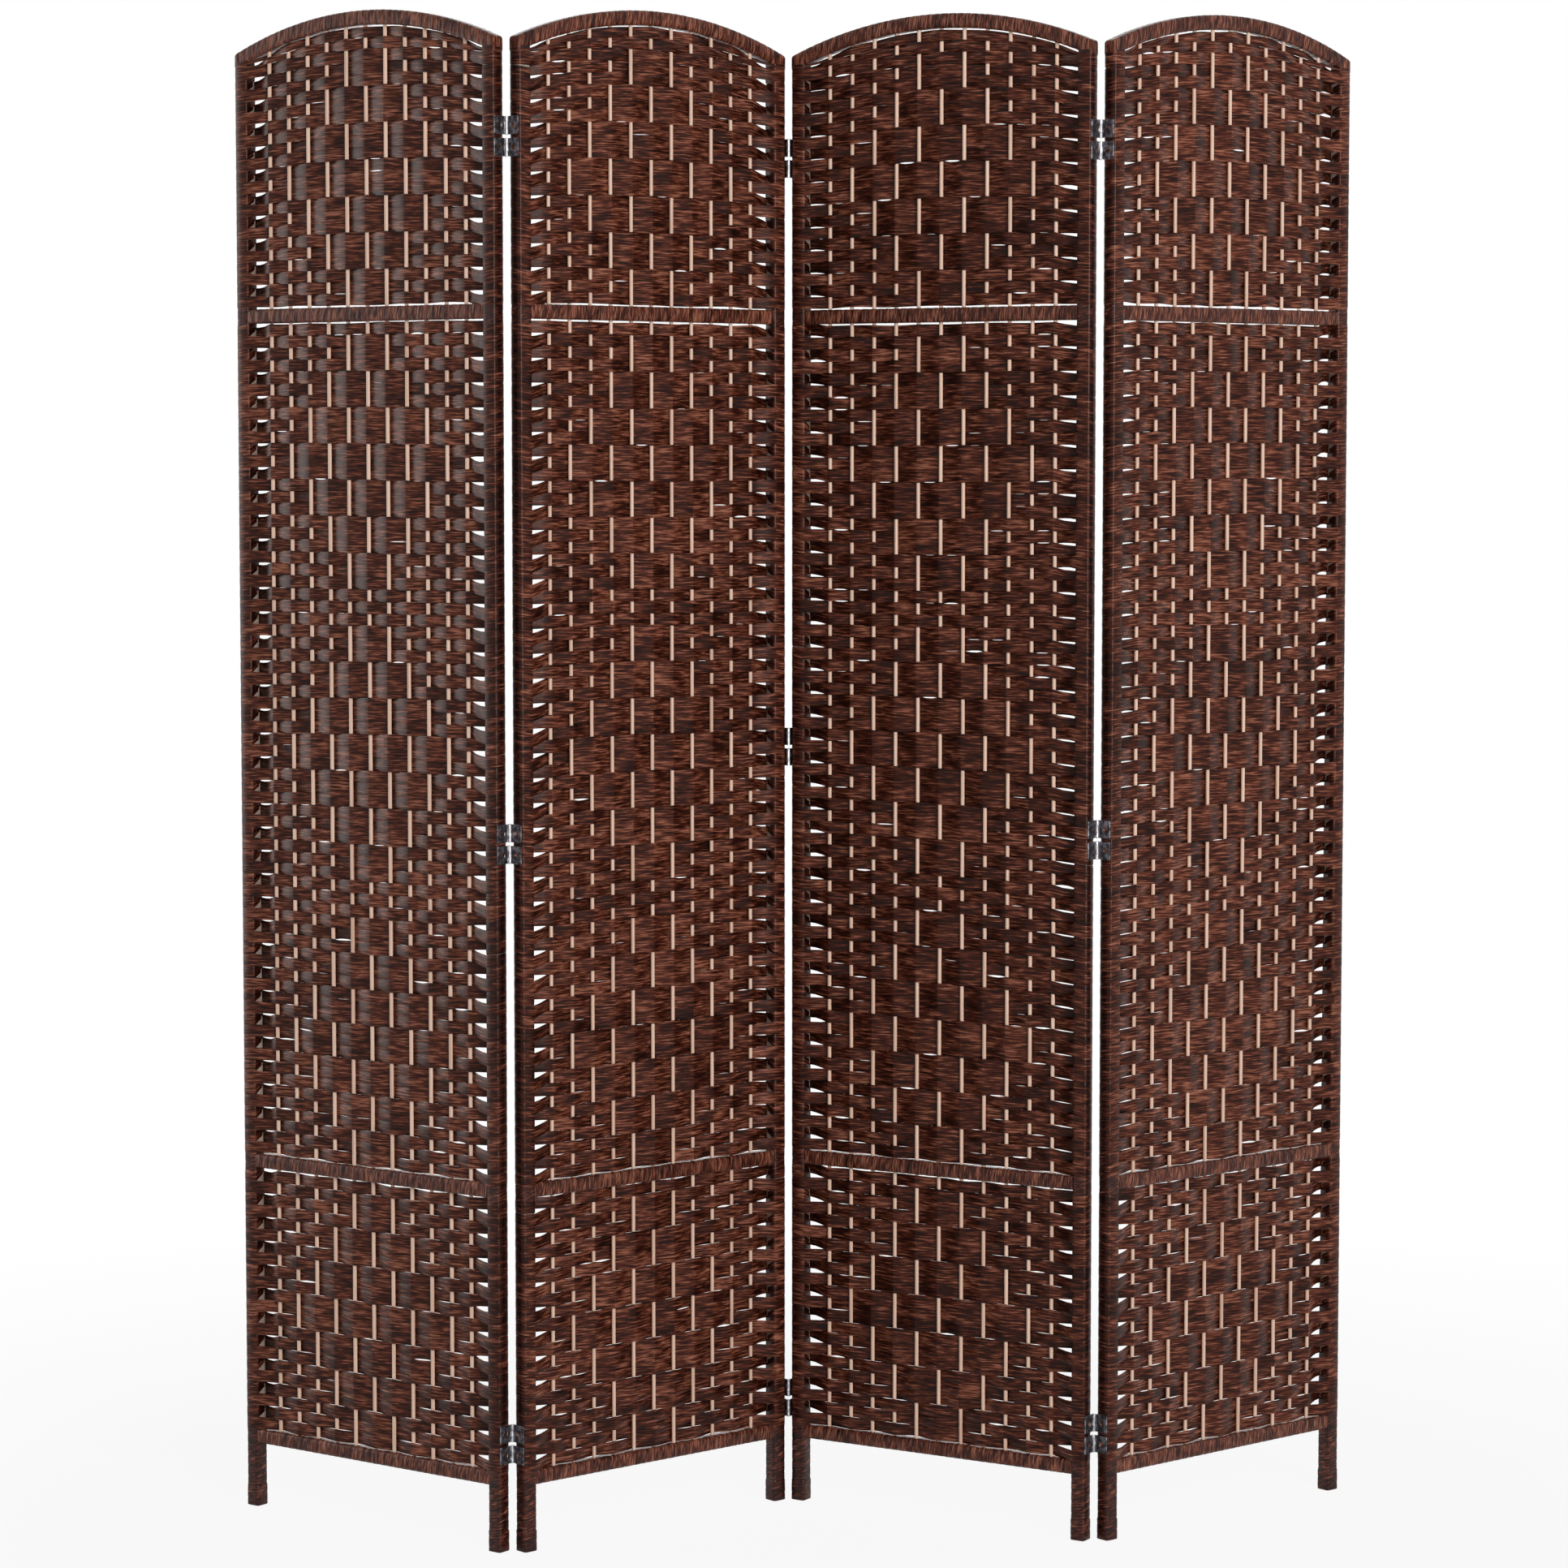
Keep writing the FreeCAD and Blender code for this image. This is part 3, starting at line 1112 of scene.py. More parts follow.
    def _wrap(self, side: Side, front: bool) -> RibbonLine:
        """Follow a row round a post, between its tail on the inner face and where it leaves.

        A row in front of the post goes on round its outer face and back; one behind it comes
        round to the front.  The ribbon climbs or falls evenly from one inner corner, round the
        outer face, to the other, and its tail goes on the same way, but more steeply.

        Args:
            side: The post's side.
            front: True for a row that leaves the post's front.

        Returns:
            The stations round the post.
        """
        reach = self.wrap_half - self.thickness / 2
        flat = reach - self.wrap_radius
        bend = flat + self.wrap_radius * math.sqrt(0.5)
        ring = np.array([
            (reach, -self.tail_reach), (reach, flat), (bend, bend), (flat, reach), (-flat, reach),
            (-bend, bend), (-reach, flat), (-reach, -flat), (-bend, -bend), (-flat, -reach), (flat, -reach),
        ])
        share = ring_lengths(ring)[:-1]
        share = (share[-1] - share) / (share[-1] - share[1])
        at_front, at_back = self.lifts[:2] if side is Side.LEFT else self.lifts[2:]
        leaving, other = (at_front, at_back) if front else (at_back, at_front)
        lift = leaving + (other - leaving) * share
        lift[0] = other + math.copysign(self.habits.tail_climb, other - leaving)
        thick, stain = np.ones(len(ring)), np.zeros(len(ring))
        thick[0] = self.tail_thickness
        # The tail on the post's inner face, in the box beside the post, is made darker: painted shade.
        stain[:2] = self.tail_stain
        # The ribbon on the post's outer face is made darker, and all of it by the panel's darkening of this
        # post.
        stain[5:8] = self.outer_stain
        stain += self.habits.stains[0 if side is Side.LEFT else 1]
        ring[:, 1] *= 1 if front else -1
        ring[:, 0] -= self.sizes.half_width - self.sizes.post / 2
        line = RibbonLine(ring, lift, thick, stain, np.zeros(len(ring)))
        return line if side is Side.LEFT else line.mirrored(self.last_place)

    def _row(self, front: np.ndarray, stretch: float) -> RibbonLine:
        """Follow one row: straight from rod to rod, creased over each, and round both posts.

        Args:
            front: True for each place that the row passes in front of.
            stretch: A factor on its lifts.

        Returns:
            The row's stations.
        """
        sizes, outs = self.sizes, self.habits.run_outs
        reach = sizes.rod_diameter / 2 + self.rod_gap + self.thickness / 2
        left, right = self._wrap(Side.LEFT, bool(front[0])), self._wrap(Side.RIGHT, bool(front[-1]))
        rod_x = np.arange(1, self.last_place) * sizes.rod_pitch - sizes.inner_half
        x = np.stack([rod_x - self.crease, rod_x + self.crease], axis=1).ravel()
        y = np.repeat(np.where(front[1:-1], -reach, reach), 2)
        knots = np.concatenate([left.path[-1:], np.stack([x, y], axis=1), right.path[:1]])
        before, after = knots[0::2], knots[1::2]
        between = before[:, None] + np.array(self.turn_shares)[:, None] * (after - before)[:, None]
        between[..., 1] += np.sign(before[:, 1] - after[:, 1])[:, None] * np.array([self.bow, -self.bow])
        creases = np.stack([after[:-1], before[1:]], axis=1)
        path = np.concatenate([between[:-1], creases], axis=1).reshape(-1, 2)
        path = np.concatenate([path, between[-1]])
        gap = np.arange(self.last_place) + 0.5
        place = np.stack([gap, gap, gap + 0.5, gap + 0.5], axis=1).ravel()[:-2]
        lift, stain, fade = np.zeros(len(path)), np.zeros(len(path)), np.array(self.run_fade)
        lift[:2] = left.lift[-1] * np.array(outs[0])
        lift[-2:] = right.lift[0] * np.array(outs[1][::-1])
        # A row that passes behind a post is made darker on the two stations beside it, less away from the
        # post: painted shade.
        stain[:2] = 0.0 if front[0] else self.run_stain * fade
        stain[-2:] = 0.0 if front[-1] else self.run_stain * fade[::-1]
        line = RibbonLine.joined([left, RibbonLine(path, lift, np.ones(len(path)), stain, place), right])
        line.lift = line.lift * stretch
        return line

    def add_to(self, shell: Shell, rng: Draws) -> None:
        """Lay every row, from the top down, between its two edges.

        Args:
            shell: The shell that takes the rows.
            rng: The panel's random draws.
        """
        front = self.in_front()
        waves = self._waves(rng)
        slits = self._slits(front, rng)
        for row in range(self.rows):
            flattened = self.arch_stretch if self.top is None and row < self.arch_rows else 1.0
            line = self._row(front[row], rng.uniform(*self.stretches) * flattened)
            place, edges = line.place, self.edges(line.path[:, 0], waves)
            upper = edges[row] + self._spread(row, row - 1, front, place) - self._slit_at(slits[row], place)
            lower = edges[row + 1] - self._spread(row, row + 1, front, place)
            lower = lower + self._slit_at(slits[row + 1], place)
            self._add_row(shell, rng, line, lower, upper)

    def _add_row(
        self, shell: Shell, rng: Draws, line: RibbonLine, lower: np.ndarray, upper: np.ndarray
    ) -> None:
        """Carry a thin lens, pleated a little, along one row's middle line.

        Args:
            shell: The shell that takes the tube.
            rng: The panel's random draws.
            line: The row's stations.
            lower: The height of its lower edge at each station, before its lift.
            upper: The height of its upper edge.
        """
        rise, through = np.array(self.LENS_ACROSS), np.array(self.LENS_THROUGH)
        tangent = np.gradient(line.path, axis=0)
        normal = np.stack([-tangent[:, 1], tangent[:, 0]], axis=1)
        normal /= np.linalg.norm(normal, axis=1, keepdims=True)
        pleat = through * (1 + rng.uniform(-self.pleat, self.pleat, len(through)))
        offset = normal[:, None, :] * (pleat[None, :] * line.thick[:, None])[..., None] * self.thickness
        flat = line.path[:, None, :] + offset
        on_wrap = (line.place % self.last_place == 0) * rng.normal(0, self.wrap_wander)
        z = (lower + line.lift + on_wrap)[:, None] + rise * (upper - lower)[:, None]
        along = ring_lengths(line.path)[:-1, None] + rng.uniform(0, self.ribbon_span[0])
        across = np.append(rise, rise[0]) * self.ribbon_width + rng.uniform(0, self.ribbon_span[1])
        places = ribbon_places(along, across)
        gap_tone = rng.normal(0, self.gap_tone, self.last_place + 2)[line.place[:-1].astype(int)]
        # Each face is darker by its stations' painted shade and darkening.
        darker = (line.stain[:-1] + line.stain[1:]) / 2
        # The whole row is darker by the panel's painted shade.
        tone = rng.normal(0.5 - self.habits.shade, self.row_tone) + gap_tone - darker
        shell.add_tube(np.concatenate([flat, z[..., None]], axis=-1), places, tone[:, None])

    def _waves(self, rng: Draws) -> np.ndarray:
        """Draw the slow waves of the rows' edges.

        Args:
            rng: The panel's random draws.

        Returns:
            A line for each wave: its size, its length across and up, and its turn.
        """
        count = self.wave_count
        size = rng.uniform(*self.wave_sizes, count)
        length = rng.uniform(*self.wave_lengths, count) * rng.choice([-1, 1], count)
        tall = rng.uniform(*self.wave_heights, count)
        return np.stack([size, length, tall, rng.uniform(0, 2 * math.pi, count)], axis=1)

    def _slits(self, front: np.ndarray, rng: Draws) -> np.ndarray:
        """Choose how far the ribbons part at each row edge in each gap between rods.

        They part more often towards the posts, and seldom where two rows lie alike.

        Args:
            front: The pattern.
            rng: The panel's random draws.

        Returns:
            Widths in mm of shape (rows + 1, gaps), most of them 0.
        """
        count = self.last_place
        shape = (self.rows + 1, count)
        beside = np.abs(np.arange(count) + 0.5 - count / 2) / (count / 2)
        at_middle, towards_posts, where_alike = self.slit_chances
        chance = np.full(shape, self.habits.slit_share) * (at_middle + towards_posts * beside**2)
        alike = front[1:] == front[:-1]
        chance[1:-1] *= np.where(alike[:, 1:] & alike[:, :-1], where_alike, 1.0)
        width = self.slit_width + self.slit_spread * rng.uniform(size=shape) ** self.slit_power
        parted = np.where(rng.uniform(size=shape) < chance, width, 0.0)
        parted[[0, -1]] = 0.0
        return parted

    def _slit_at(self, parted: np.ndarray, place: np.ndarray) -> np.ndarray:
        """Half of the parting at the stations between rods, and none on the rods and posts."""
        gap = np.minimum(place.astype(int), self.sizes.rod_count)
        return np.where(place % 1 > 0, parted[gap] * 0.5, 0.0)

    def _spread(self, row: int, other: int, front: np.ndarray, place: np.ndarray) -> np.ndarray:
        """Find how far a ribbon spreads past its edge towards a neighbour.

        It spreads most on a rod where the neighbour is on the rod's other side, and on a post.

        Args:
            row: The row.
            other: The neighbour, which may be past the window's end: then nothing spreads.
            front: The pattern.
            place: The place of each station.

        Returns:
            The spread at each station.
        """
        if not 0 <= other < self.rows:
            return np.zeros_like(place)
        apart = (front[row] != front[other])[place.astype(int)] & (place % 1 == 0)
        spread = np.where(apart, self.swell, self.lap)
        return np.where(place % self.last_place == 0, self.post_lap, spread)


# Rods


@dataclass
class RodSet:
    """The panel's upright rods: thin round bars, a little uneven."""

    sizes: PanelSizes = SIZES
    socket: float = 8.0
    sides: int = 12
    spacing: float = 60.0
    wander: float = 0.35
    bends: int = 9

    def add_to(self, shell: Shell, rng: Draws) -> None:
        """Carry a circle up each rod, moved a little to the side in slow random steps.

        Args:
            shell: The shell that takes the rods.
            rng: The panel's random draws.
        """
        sizes = self.sizes
        base = sizes.leg + sizes.rail_height - self.socket
        angle = np.arange(self.sides) * 2 * math.pi / self.sides
        circle = np.stack([np.cos(angle), np.sin(angle)], axis=1) * sizes.rod_diameter / 2
        for rod in range(1, sizes.rod_count + 1):
            x = rod * sizes.rod_pitch - sizes.inner_half
            top = float(sizes.arch_height(sizes.rail_height, x)) + self.socket
            z = np.linspace(base, top, int((top - base) / self.spacing))
            steps = rng.uniform(-1, 1, self.bends)
            drift = np.interp(z, np.linspace(base, top, self.bends), steps) * self.wander
            points = np.empty((len(z), self.sides, 3))
            points[..., 0] = x + drift[:, None] + circle[:, 0]
            points[..., 1] = circle[:, 1]
            points[..., 2] = z[:, None]
            shell.add_tube(points)


# Panel


@dataclass
class WovenPanel:
    """One panel of the divider: posts, rails, rods and three woven windows."""

    place: PanelPlace
    habits: WeaveHabits
    sizes: PanelSizes = SIZES
    arch_inset: float = 0.4
    arch_turn: float = 9.5
    rng: Draws = field(init=False)

    def __post_init__(self) -> None:
        """Seed the panel's own random draws."""
        self.rng = np.random.default_rng(SEED + self.place.number)

    def windows(self) -> list[WovenWindow]:
        """Lay out the three woven windows.

        Returns:
            The windows, from the top down.
        """
        habits, rail = self.habits, self.sizes.rail_height
        leg, low, high = self.sizes.leg, self.sizes.lower_bar, self.sizes.upper_bar
        layouts = (
            ("upper_weave", high + rail, None, 23, 0, (2,), habits.upper_gaps, 0.7, habits.lifts),
            ("middle_weave", low + rail, high, 70, 1, (1, 25, 49), habits.middle_gaps, 2.2, habits.lifts),
            ("lower_weave", leg + rail, low, 22, 1, (1,), habits.lower_gaps, 0.9, habits.lower_lifts),
        )
        return [WovenWindow(*layout, habits) for layout in layouts]

    def build(self) -> None:
        """Make every piece of the panel."""
        sizes, over_post = self.sizes, self.sizes.post - self.arch_inset
        bars = [
            WoundBar("arch_rail", 0.0, bowed=True, overlap=over_post, turn_width=self.arch_turn),
            WoundBar("upper_crossbar", sizes.upper_bar),
            WoundBar("lower_crossbar", sizes.lower_bar),
            WoundBar("bottom_rail", sizes.leg),
        ]
        for bar in bars:
            self._make(bar, bar.name, (WOUND,), "wound_frame")
        for side in Side:
            self._make(WoundPost(side), f"{side.word}_post", (WOUND, SHADED_POST_WOOD), "wound_frame")
        self._make(RodSet(), "rods", (PALE_WOOD,), "pale_rods")
        for window in self.windows():
            self._make(window, window.name, (RIBBON,), "woven_ribbon")

    def _make(self, part: Any, node: str, finishes: Sequence[Finish], slot: str) -> None:
        """Build one part as the piece that stands for its node.

        Args:
            part: A class with an add_to method.
            node: The node's name without its panel.
            finishes: The finish of each material slot of the mesh.
            slot: The record's slot.
        """
        shell = Shell()
        part.add_to(shell, self.rng)
        packed = f"{self.place.body}_{node}"
        shell.build(f"{packed}_ribboned", self.place, finishes, slot, [packed])


# Hinges


@dataclass(frozen=True)
class HingeSizes:
    """The butt hinge's sizes, as in the construction model."""

    leaf_height: float = 21.0
    leaf_thickness: float = 1.2
    leaf_gap: float = 0.6
    leaf_margin: float = 1.0
    centre_knuckle: float = 8.0
    knuckle: float = 4.7
    end_gap: float = 0.2
    clearance: float = 0.45
    face_gap: float = 0.15
    pin: float = 2.4
    pin_proud: float = 0.4
    unit_gap: float = 4.0

    @property
    def pin_offset(self) -> float:
        """From a panel's face to the pins."""
        return self.knuckle / 2 + self.face_gap

    @property
    def axis_x(self) -> float:
        """From a panel's middle to the pins."""
        return SIZES.half_width + self.leaf_gap / 2 + self.leaf_thickness

    @property
    def axis_y(self) -> float:
        """From a panel's middle plane to the pins."""
        return SIZES.post / 2 + self.pin_offset


@dataclass
class HingeRow:
    """The leaves, pins and screws of one fold on one panel."""

    fold: str
    place: PanelPlace
    leaf_side: Side
    pin_way: int
    upper_grips: bool
    heights: Triple
    sizes: HingeSizes = HingeSizes()
    screw_hole: float = 2.0
    hole_ease: float = 0.8
    countersink: float = 3.7
    countersink_depth: float = 0.12
    countersink_ease: float = 0.15
    corner_radius: float = 1.2
    side_steps: int = 8
    bevel: float = 0.25
    tab: float = 0.3
    knuckle_ease: float = 0.22
    knuckle_steps: int = 30
    pin_sides: int = 20
    screw_sides: int = 32
    screw_sunk: float = 0.12
    cross_depth: float = 0.85
    cross_arm: Pair = (0.62, 0.25)
    cross_reach: Pair = (2.05, 0.3)
    first_spin: float = 20.0
    spin_step: float = 37.0
    spin_cycle: float = 5.0
    sharp_angle: float = 35.0

    DOME = ((0.5, -1.0), (0.93, -0.6), (1.0, 0.0))
    SCREW_SIDE = ((1.3, -2.0), (1.35, -1.1), (3.1, -0.28), (3.25, -0.1), (3.1, -0.02))
    SCREW_FACE = ((2.6, 0.0), (2.1, 0.02), (1.6, 0.03), (1.1, 0.03), (0.7, 0.03), (0.35, 0.03))

    def _bases(self) -> list[tuple[float, bool]]:
        """List the hinge units, two at each height.

        Returns:
            The underside of each, and whether this leaf grips its pin.
        """
        found = []
        for height in self.heights:
            lower = height - self.sizes.unit_gap / 2 - self.sizes.leaf_height
            upper = height + self.sizes.unit_gap / 2
            found += [(lower, not self.upper_grips), (upper, self.upper_grips)]
        return found

    def _placed(self, points: np.ndarray, base: float) -> np.ndarray:
        """Points about a unit's pin, moved to the panel's frame."""
        x = -self.leaf_side.value * self.sizes.axis_x
        return points + np.array([x, self.pin_way * self.sizes.axis_y, base])

    @property
    def _face(self) -> float:
        """The x of the leaf's open face, measured from the pin."""
        return self.leaf_side.value * self.sizes.leaf_gap / 2

    @property
    def _span(self) -> Pair:
        """How far from the pin the flat of the leaf starts and ends."""
        sizes = self.sizes
        return sizes.knuckle / 2 + sizes.clearance, sizes.pin_offset + SIZES.post - sizes.leaf_margin

    @property
    def _middle(self) -> Pair:
        """The y and z of the screw hole, measured from the pin's lower end."""
        return -self.pin_way * sum(self._span) / 2, self.sizes.leaf_height / 2

    def _plate(self) -> np.ndarray:
        """Shape the flat of a leaf: rings from the screw hole out to its edge and back in.

        Returns:
            Points of shape (rings, corners, 3), measured from the pin.
        """
        near, far = self._span
        half_width, half_height = (far - near) / 2, self.sizes.leaf_height / 2
        ring = RoundedRing(half_width, half_height, self.corner_radius, side_steps=self.side_steps)
        outline, _ = ring.points()
        angle = np.arctan2(outline[:, 1], outline[:, 0])
        circle = np.stack([np.cos(angle), np.sin(angle)], axis=1)
        eased = 1 - self.bevel / np.linalg.norm(outline, axis=1, keepdims=True)
        depth = self.sizes.leaf_thickness
        rings = (
            (circle * self.screw_hole, depth),
            (circle * self.screw_hole, depth * self.hole_ease),
            (circle * self.countersink, self.countersink_depth),
            (circle * (self.countersink + self.countersink_ease), 0.0),
            (outline * eased, 0.0),
            (outline, self.bevel),
            (outline, depth),
        )
        points = np.empty((len(rings), len(outline), 3))
        for ring, (flat, deep) in zip(points, rings):
            ring[:, 0] = self._face + self.leaf_side.value * deep
            ring[:, 1:] = flat + self._middle
        return points

    def _knuckle(self, low: float, high: float) -> np.ndarray:
        """Shape a rolled knuckle: a tab from the plate run into a circle, with eased ends.

        Args:
            low: Its lower end, from the pin's lower end.
            high: Its upper end.

        Returns:
            Points of shape (levels, corners, 3), measured from the pin.
        """
        sizes, way, ease = self.sizes, self.pin_way, self.knuckle_ease
        radius = sizes.knuckle / 2
        reach = radius + sizes.clearance + self.tab
        near, back = self._face, self._face + self.leaf_side.value * sizes.leaf_thickness
        start, end = math.asin(back / radius), math.asin(near / radius)
        sweep = math.copysign(2 * math.pi, self.leaf_side.value) - start + end
        angle = start + sweep * np.linspace(0, 1, self.knuckle_steps)
        curl = np.stack([np.sin(angle), -way * np.cos(angle)], axis=1) * radius
        section = np.concatenate([[[near, -way * reach], [back, -way * reach]], curl])
        shrink = np.where(np.arange(len(section)) < 2, 1.0, 1 - ease / radius)[:, None]
        levels = [(low, shrink), (low + ease, 1.0), (high - ease, 1.0), (high, shrink)]
        return np.stack([
            np.concatenate([section * factor, np.full((len(section), 1), z)], axis=1) for z, factor in levels
        ])

    @staticmethod
    def _turned(profile: Sequence[Pair], sides: int) -> np.ndarray:
        """A profile of (radius, height) pairs turned about the z axis."""
        angle = np.arange(sides) * 2 * math.pi / sides
        return np.stack([
            np.stack([r * np.cos(angle), r * np.sin(angle), np.full(sides, z)], axis=1) for r, z in profile
        ])

    def _pin(self) -> np.ndarray:
        """Shape a pin, domed at both ends by DOME's shares of its radius and of its proud length.

        Returns:
            Points of shape (levels, corners, 3).
        """
        radius, proud = self.sizes.pin / 2, self.sizes.pin_proud
        dome = [(radius * across, proud * along) for across, along in self.DOME]
        upper = [(r, self.sizes.leaf_height - z) for r, z in reversed(dome)]
        return self._turned(dome + upper, self.pin_sides)

    def _screw(self, base: float) -> np.ndarray:
        """Shape a countersunk head, its face pressed in along the two arms of a cross.

        Args:
            base: The underside of its hinge unit, on which the cross's turn depends.

        Returns:
            Points of shape (rings, corners, 3), measured from the pin.
        """
        rings, face = (self._turned(rows, self.screw_sides) for rows in (self.SCREW_SIDE, self.SCREW_FACE))
        flat = np.abs(face[..., :2])
        within = ((self.cross_arm, flat.min(axis=-1)), (self.cross_reach, flat.max(axis=-1)))
        arm, reach = (np.clip((edge - away) / slope, 0, 1) for (edge, slope), away in within)
        face[..., 2] -= arm * reach * self.cross_depth
        x, y, z = np.moveaxis(np.concatenate([rings, face]), -1, 0)
        spin = math.radians(self.first_spin + self.spin_step * (base % self.spin_cycle))
        across = x * math.cos(spin) - y * math.sin(spin) + self._middle[0]
        upright = x * math.sin(spin) + y * math.cos(spin) + self._middle[1]
        deep = self._face - self.leaf_side.value * (z - self.screw_sunk)
        return np.stack([deep, across, upright], axis=-1)

    def build(self) -> None:
        """Make the leaves, the pins that they grip, and their screws."""
        leaves, pins, screws = Shell(), Shell(), Shell()
        height, end_gap = self.sizes.leaf_height, self.sizes.end_gap
        outer = (height - self.sizes.centre_knuckle) / 2 - end_gap
        centre = outer + 1.5 * end_gap
        for base, grips in self._bases():
            leaves.add_tube(self._placed(self._plate(), base), ring=True)
            if grips:
                pins.add_tube(self._placed(self._pin(), base))
            spans = [(0.0, outer), (height - outer, height)] if grips else [(centre, height - centre)]
            for low, high in spans:
                leaves.add_tube(self._placed(self._knuckle(low, high), base), slot=1)
            screws.add_tube(self._placed(self._screw(base), base))
        stem = f"{self.fold}_{self.leaf_side.word}"
        # Leaves take the dark steel, and their knuckles and the pins the lighter copy, which is painted
        # highlight.
        kinds = (
            (leaves, "leaves", "_rolled", (STEEL, STEEL_PAINTED_HIGHLIGHT)),
            (pins, "pins", "_domed", (STEEL_PAINTED_HIGHLIGHT,)),
            (screws, "screws", "", (COPPER,)),
        )
        for shell, kind, form, finishes in kinds:
            packed = [f"{stem}_{kind}"] if form else []
            shell.build(f"{stem}_{kind}{form}", self.place, finishes, "hinge_steel", packed, self.sharp_angle)


# Studio


@dataclass(frozen=True)
class SoftLamp:
    """A rectangular soft lamp, aimed at a point; places and sizes in metres, power in watts."""

    name: str
    at: Triple
    towards: Triple
    size: Pair
    power: float

    def build(self) -> None:
        """Hang the lamp so that its -z axis runs to its aim."""
        data = bpy.data.lights.new(self.name, "AREA")
        data.shape = "RECTANGLE"
        data.size, data.size_y = self.size
        data.energy = self.power
        lamp = new_object(self.name, data)
        lamp.location = self.at
        way = Vector(self.towards) - Vector(self.at)
        lamp.rotation_euler = way.to_track_quat("-Z", "Y").to_euler()


@dataclass(frozen=True)
class Studio:
    """White studio: a pale floor, plain soft lamps and the camera."""

    camera_place: Triple = (-0.05648, -5.34197, 1.29086)
    camera_dip: float = 4.2898
    camera_turn: float = -0.4315
    lens: float = 103.121
    sensor: float = 36.0
    floor_half: float = 30.0
    room: float = 0.07
    right_wall: float = 0.32
    right_edge: Pair = (0.5, 0.3)
    left_wall: float = 1.3
    left_edge: Pair = (0.55, 0.4)
    lamps: tuple[SoftLamp, ...] = (
        SoftLamp("key_softbox", (2.1, -4.6, 1.9), (0, 0, 1.0), (1.8, 3.4), 235.0),
        SoftLamp("rear_softbox", (-0.5, 4.2, 2.6), (0, 0, 1.0), (4.4, 3.4), 45.0),
        SoftLamp("left_softbox", (-4.4, 1.0, 1.1), (-0.5, 0, 1.0), (1.7, 3.0), 52.0),
    )

    def build(self) -> None:
        """Make the floor, the world, the lamps and the camera."""
        self._floor()
        self._world()
        for lamp in self.lamps:
            lamp.build()
        self._camera()

    def _floor(self) -> None:
        """A flat square of four by four faces under the feet."""
        line = np.linspace(-self.floor_half, self.floor_half, 5)
        x, y = np.meshgrid(line, line, indexing="ij")
        points = np.stack([x, y, np.zeros_like(x)], axis=-1).reshape(-1, 3)
        faces = corner_values(np.arange(x.size).reshape(x.shape)).reshape(-1, 4)
        mesh = bpy.data.meshes.new("floor")
        mesh.from_pydata(points.tolist(), [], faces.tolist())
        mesh.materials.append(FLOOR.material())
        floor = new_object("floor", mesh)

    def _world(self) -> None:
        """White where the background is seen, and for light a bright left wall and a dim right one."""
        world = bpy.data.worlds.new("studio")
        world.use_nodes = True
        bpy.context.scene.world = world
        bench = Bench(world.node_tree)
        way = bench.node("TexCoord", {}, {}, "Generated")
        across = bench.node("SeparateXYZ", {}, {0: way}, "X")
        left = (across * -1).above(*self.left_edge) * (self.left_wall - self.room)
        right = across.above(*self.right_edge) * (self.right_wall - self.room)
        seen = bench.seen()
        strength = seen + (1 - seen) * (left + right + self.room)
        light = bench.node("Background", {}, {"Color": (1.0, 1.0, 1.0), "Strength": strength})
        bench.node("OutputWorld", {}, {"Surface": light})

    def _camera(self) -> None:
        """A level long lens, dipped a little, as in the photograph."""
        data = bpy.data.cameras.new("camera")
        data.lens = self.lens
        data.sensor_width = self.sensor
        camera = new_object("camera", data)
        camera.location = self.camera_place
        camera.rotation_euler = (math.radians(90 - self.camera_dip), 0.0, math.radians(self.camera_turn))
        bpy.context.scene.camera = camera


# The divider


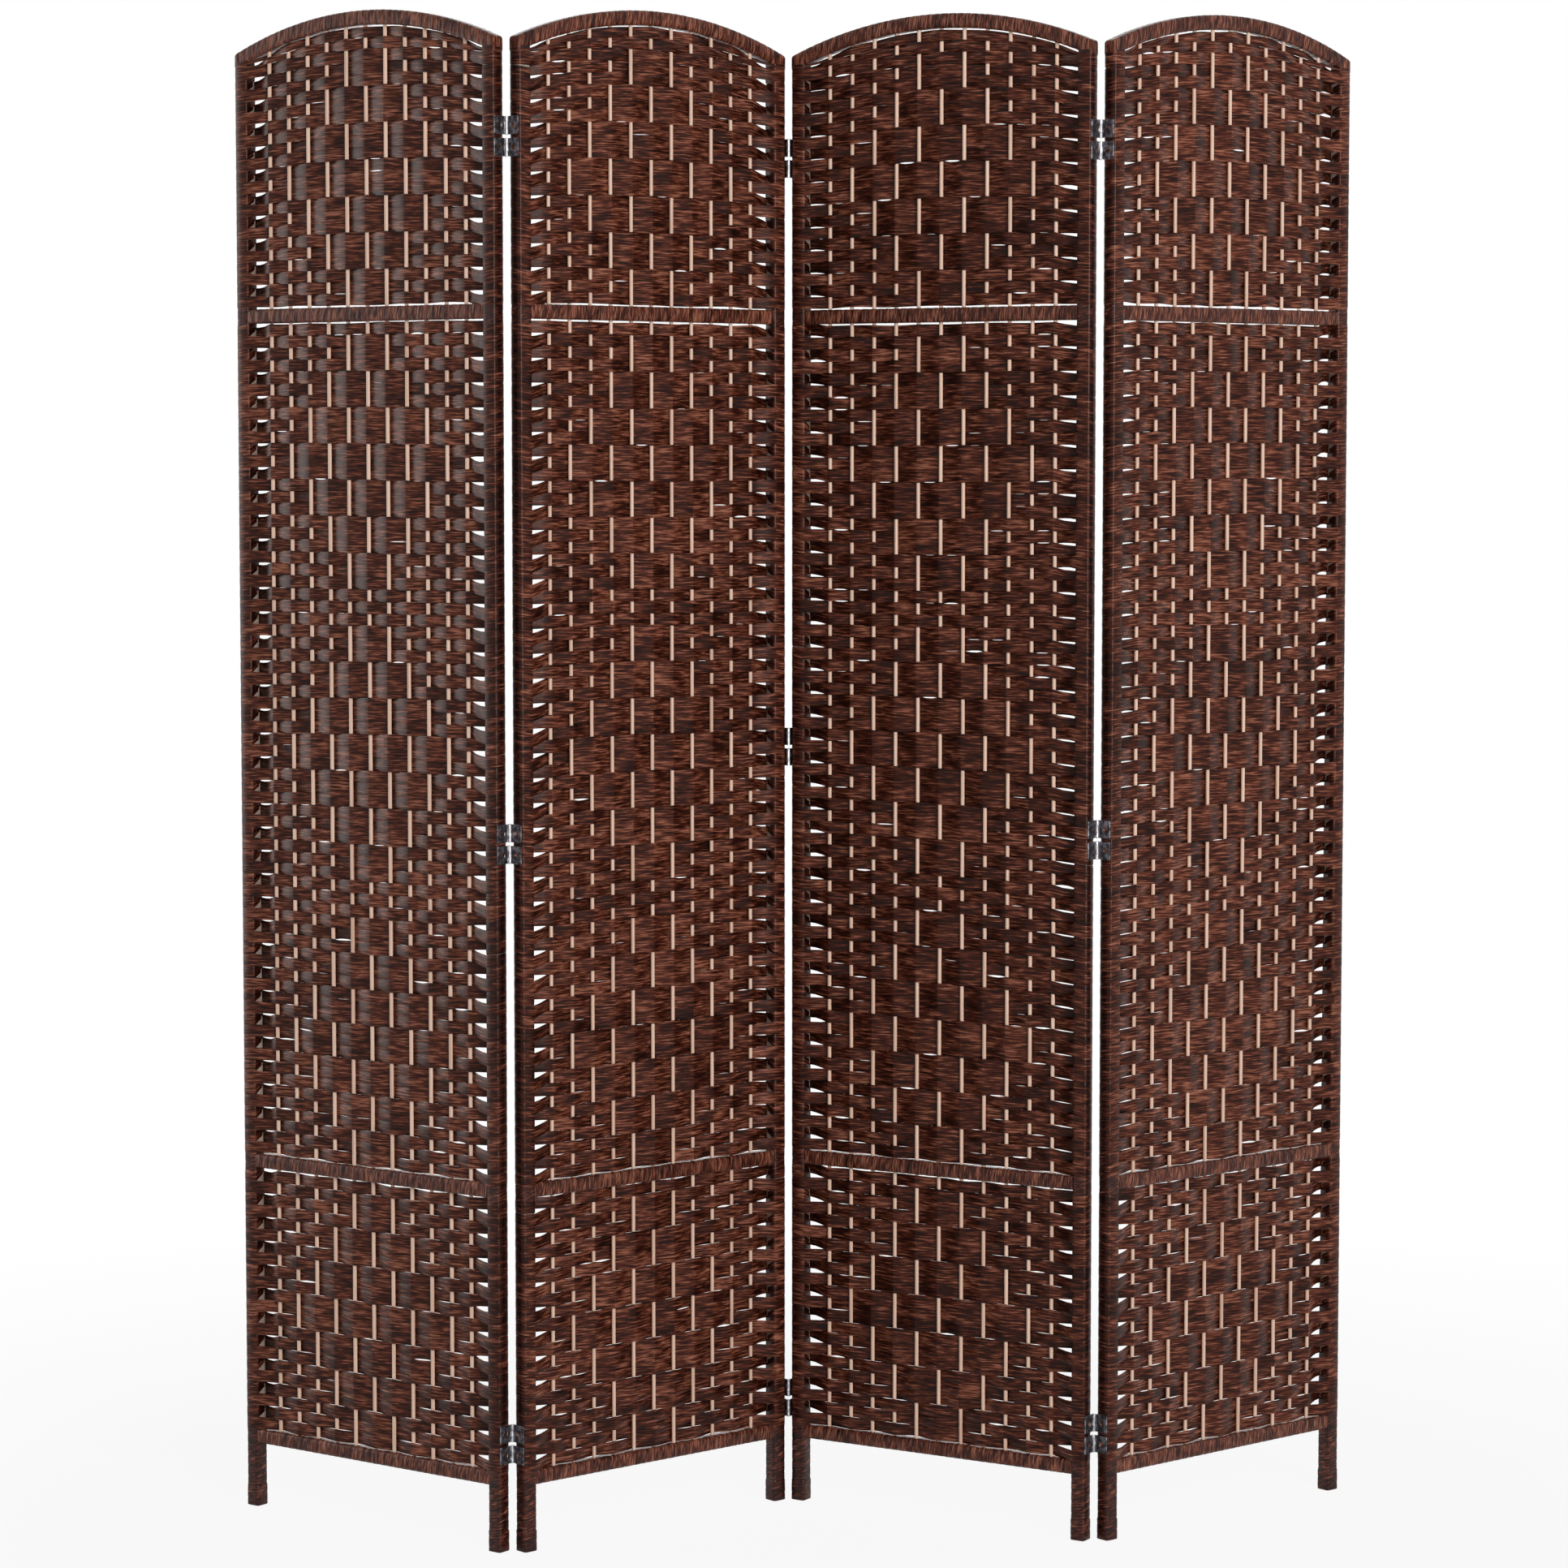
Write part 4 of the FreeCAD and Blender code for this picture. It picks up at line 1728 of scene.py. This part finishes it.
@dataclass
class RoomDivider:
    """Four woven panels in their zigzag, and the three folds between them."""

    turns: tuple[float, ...] = (-37.5, 41.1, -32.4, 40.9)
    # Each panel's shade is painted shade, most on the two middle panels, which face each other.
    habits: tuple[WeaveHabits, ...] = (
        WeaveHabits(
            upper_gaps=(0.6, 1.5), middle_gaps=(0.6, 0.3), lower_gaps=(1.4, 0.3), slit_share=0.12,
            lifts=(0.0, -3.6, -4.8, 0.0), lower_lifts=(0.0, -3.6, -2.6, 0.0),
            run_outs=((0.92, 0.7), (0.8, 0.5)), tail_climb=6.5, stains=(0.0, 0.14), shade=0.01,
        ),
        WeaveHabits(
            upper_gaps=(0.5, 1.1), middle_gaps=(1.3, 0.3), lower_gaps=(0.4, 0.3), slit_share=0.08,
            lifts=(-5.6, 0.0, 0.0, -4.2), lower_lifts=(-3.2, 0.0, -3.4, 0.0),
            run_outs=((0.66, 0.33), (0.6, 0.22)), tail_climb=6.0, stains=(0.05, 0.0), shade=0.05,
        ),
        WeaveHabits(
            upper_gaps=(0.9, 1.4), middle_gaps=(1.4, 0.3), lower_gaps=(1.3, 0.3), slit_share=0.2,
            lifts=(0.0, 3.4, -0.5, -4.4), lower_lifts=(0.0, 3.4, -2.8, -0.6),
            run_outs=((0.75, 0.4), (0.8, 0.5)), tail_climb=5.0, stains=(0.0, 0.03), shade=0.1,
        ),
        WeaveHabits(
            upper_gaps=(0.9, 1.9), middle_gaps=(0.4, 0.3), lower_gaps=(0.8, 0.3), slit_share=0.12,
            lifts=(0.8, -4.8, -0.5, 3.4), lower_lifts=(-3.4, 0.0, -0.5, 3.4),
            run_outs=((0.6, 0.3), (0.9, 0.7)), tail_climb=5.0, stains=(0.03, 0.0), shade=0.04,
        ),
    )
    outer_hinges: Triple = (127.0, 832.0, -111.0)
    inner_hinges: Triple = (127.0, 928.0, -120.0)

    def places(self) -> list[PanelPlace]:
        """Find each panel's place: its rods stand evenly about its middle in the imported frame.

        Returns:
            The places, from the left.
        """
        found = []
        for number, turn in enumerate(self.turns, start=1):
            low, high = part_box(f"panel_{number}_rods")
            middle = ((low.x + high.x) / 2, (low.y + high.y) / 2)
            found.append(PanelPlace(number, middle, math.radians(turn)))
        return found

    def build(self) -> None:
        """Make the panels, then the hinges of each fold.

        A hinge height below 0 is measured down from the posts' tops.
        """
        places = self.places()
        for place, habits in zip(places, self.habits):
            WovenPanel(place, habits).build()
        post_top = SIZES.shoulder - SIZES.post_top_drop
        folds = (
            ("fold_1_2", 1, Side.RIGHT, self.outer_hinges),
            ("fold_2_3", -1, Side.LEFT, self.inner_hinges),
            ("fold_3_4", 1, Side.RIGHT, self.outer_hinges),
        )
        for index, (fold, pin_way, grip_side, hinges) in enumerate(folds):
            heights = tuple(height if height > 0 else post_top + height for height in hinges)
            for side, place in zip(Side, places[index:index + 2]):
                HingeRow(fold, place, side, pin_way, side is grip_side, heights).build()


def main() -> None:
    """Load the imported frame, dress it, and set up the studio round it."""
    logging.basicConfig(level=logging.INFO, format="%(message)s")
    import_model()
    bpy.context.scene.view_settings.view_transform = "Standard"
    RoomDivider().build()
    Studio().build()


if __name__ == "__main__":
    main()
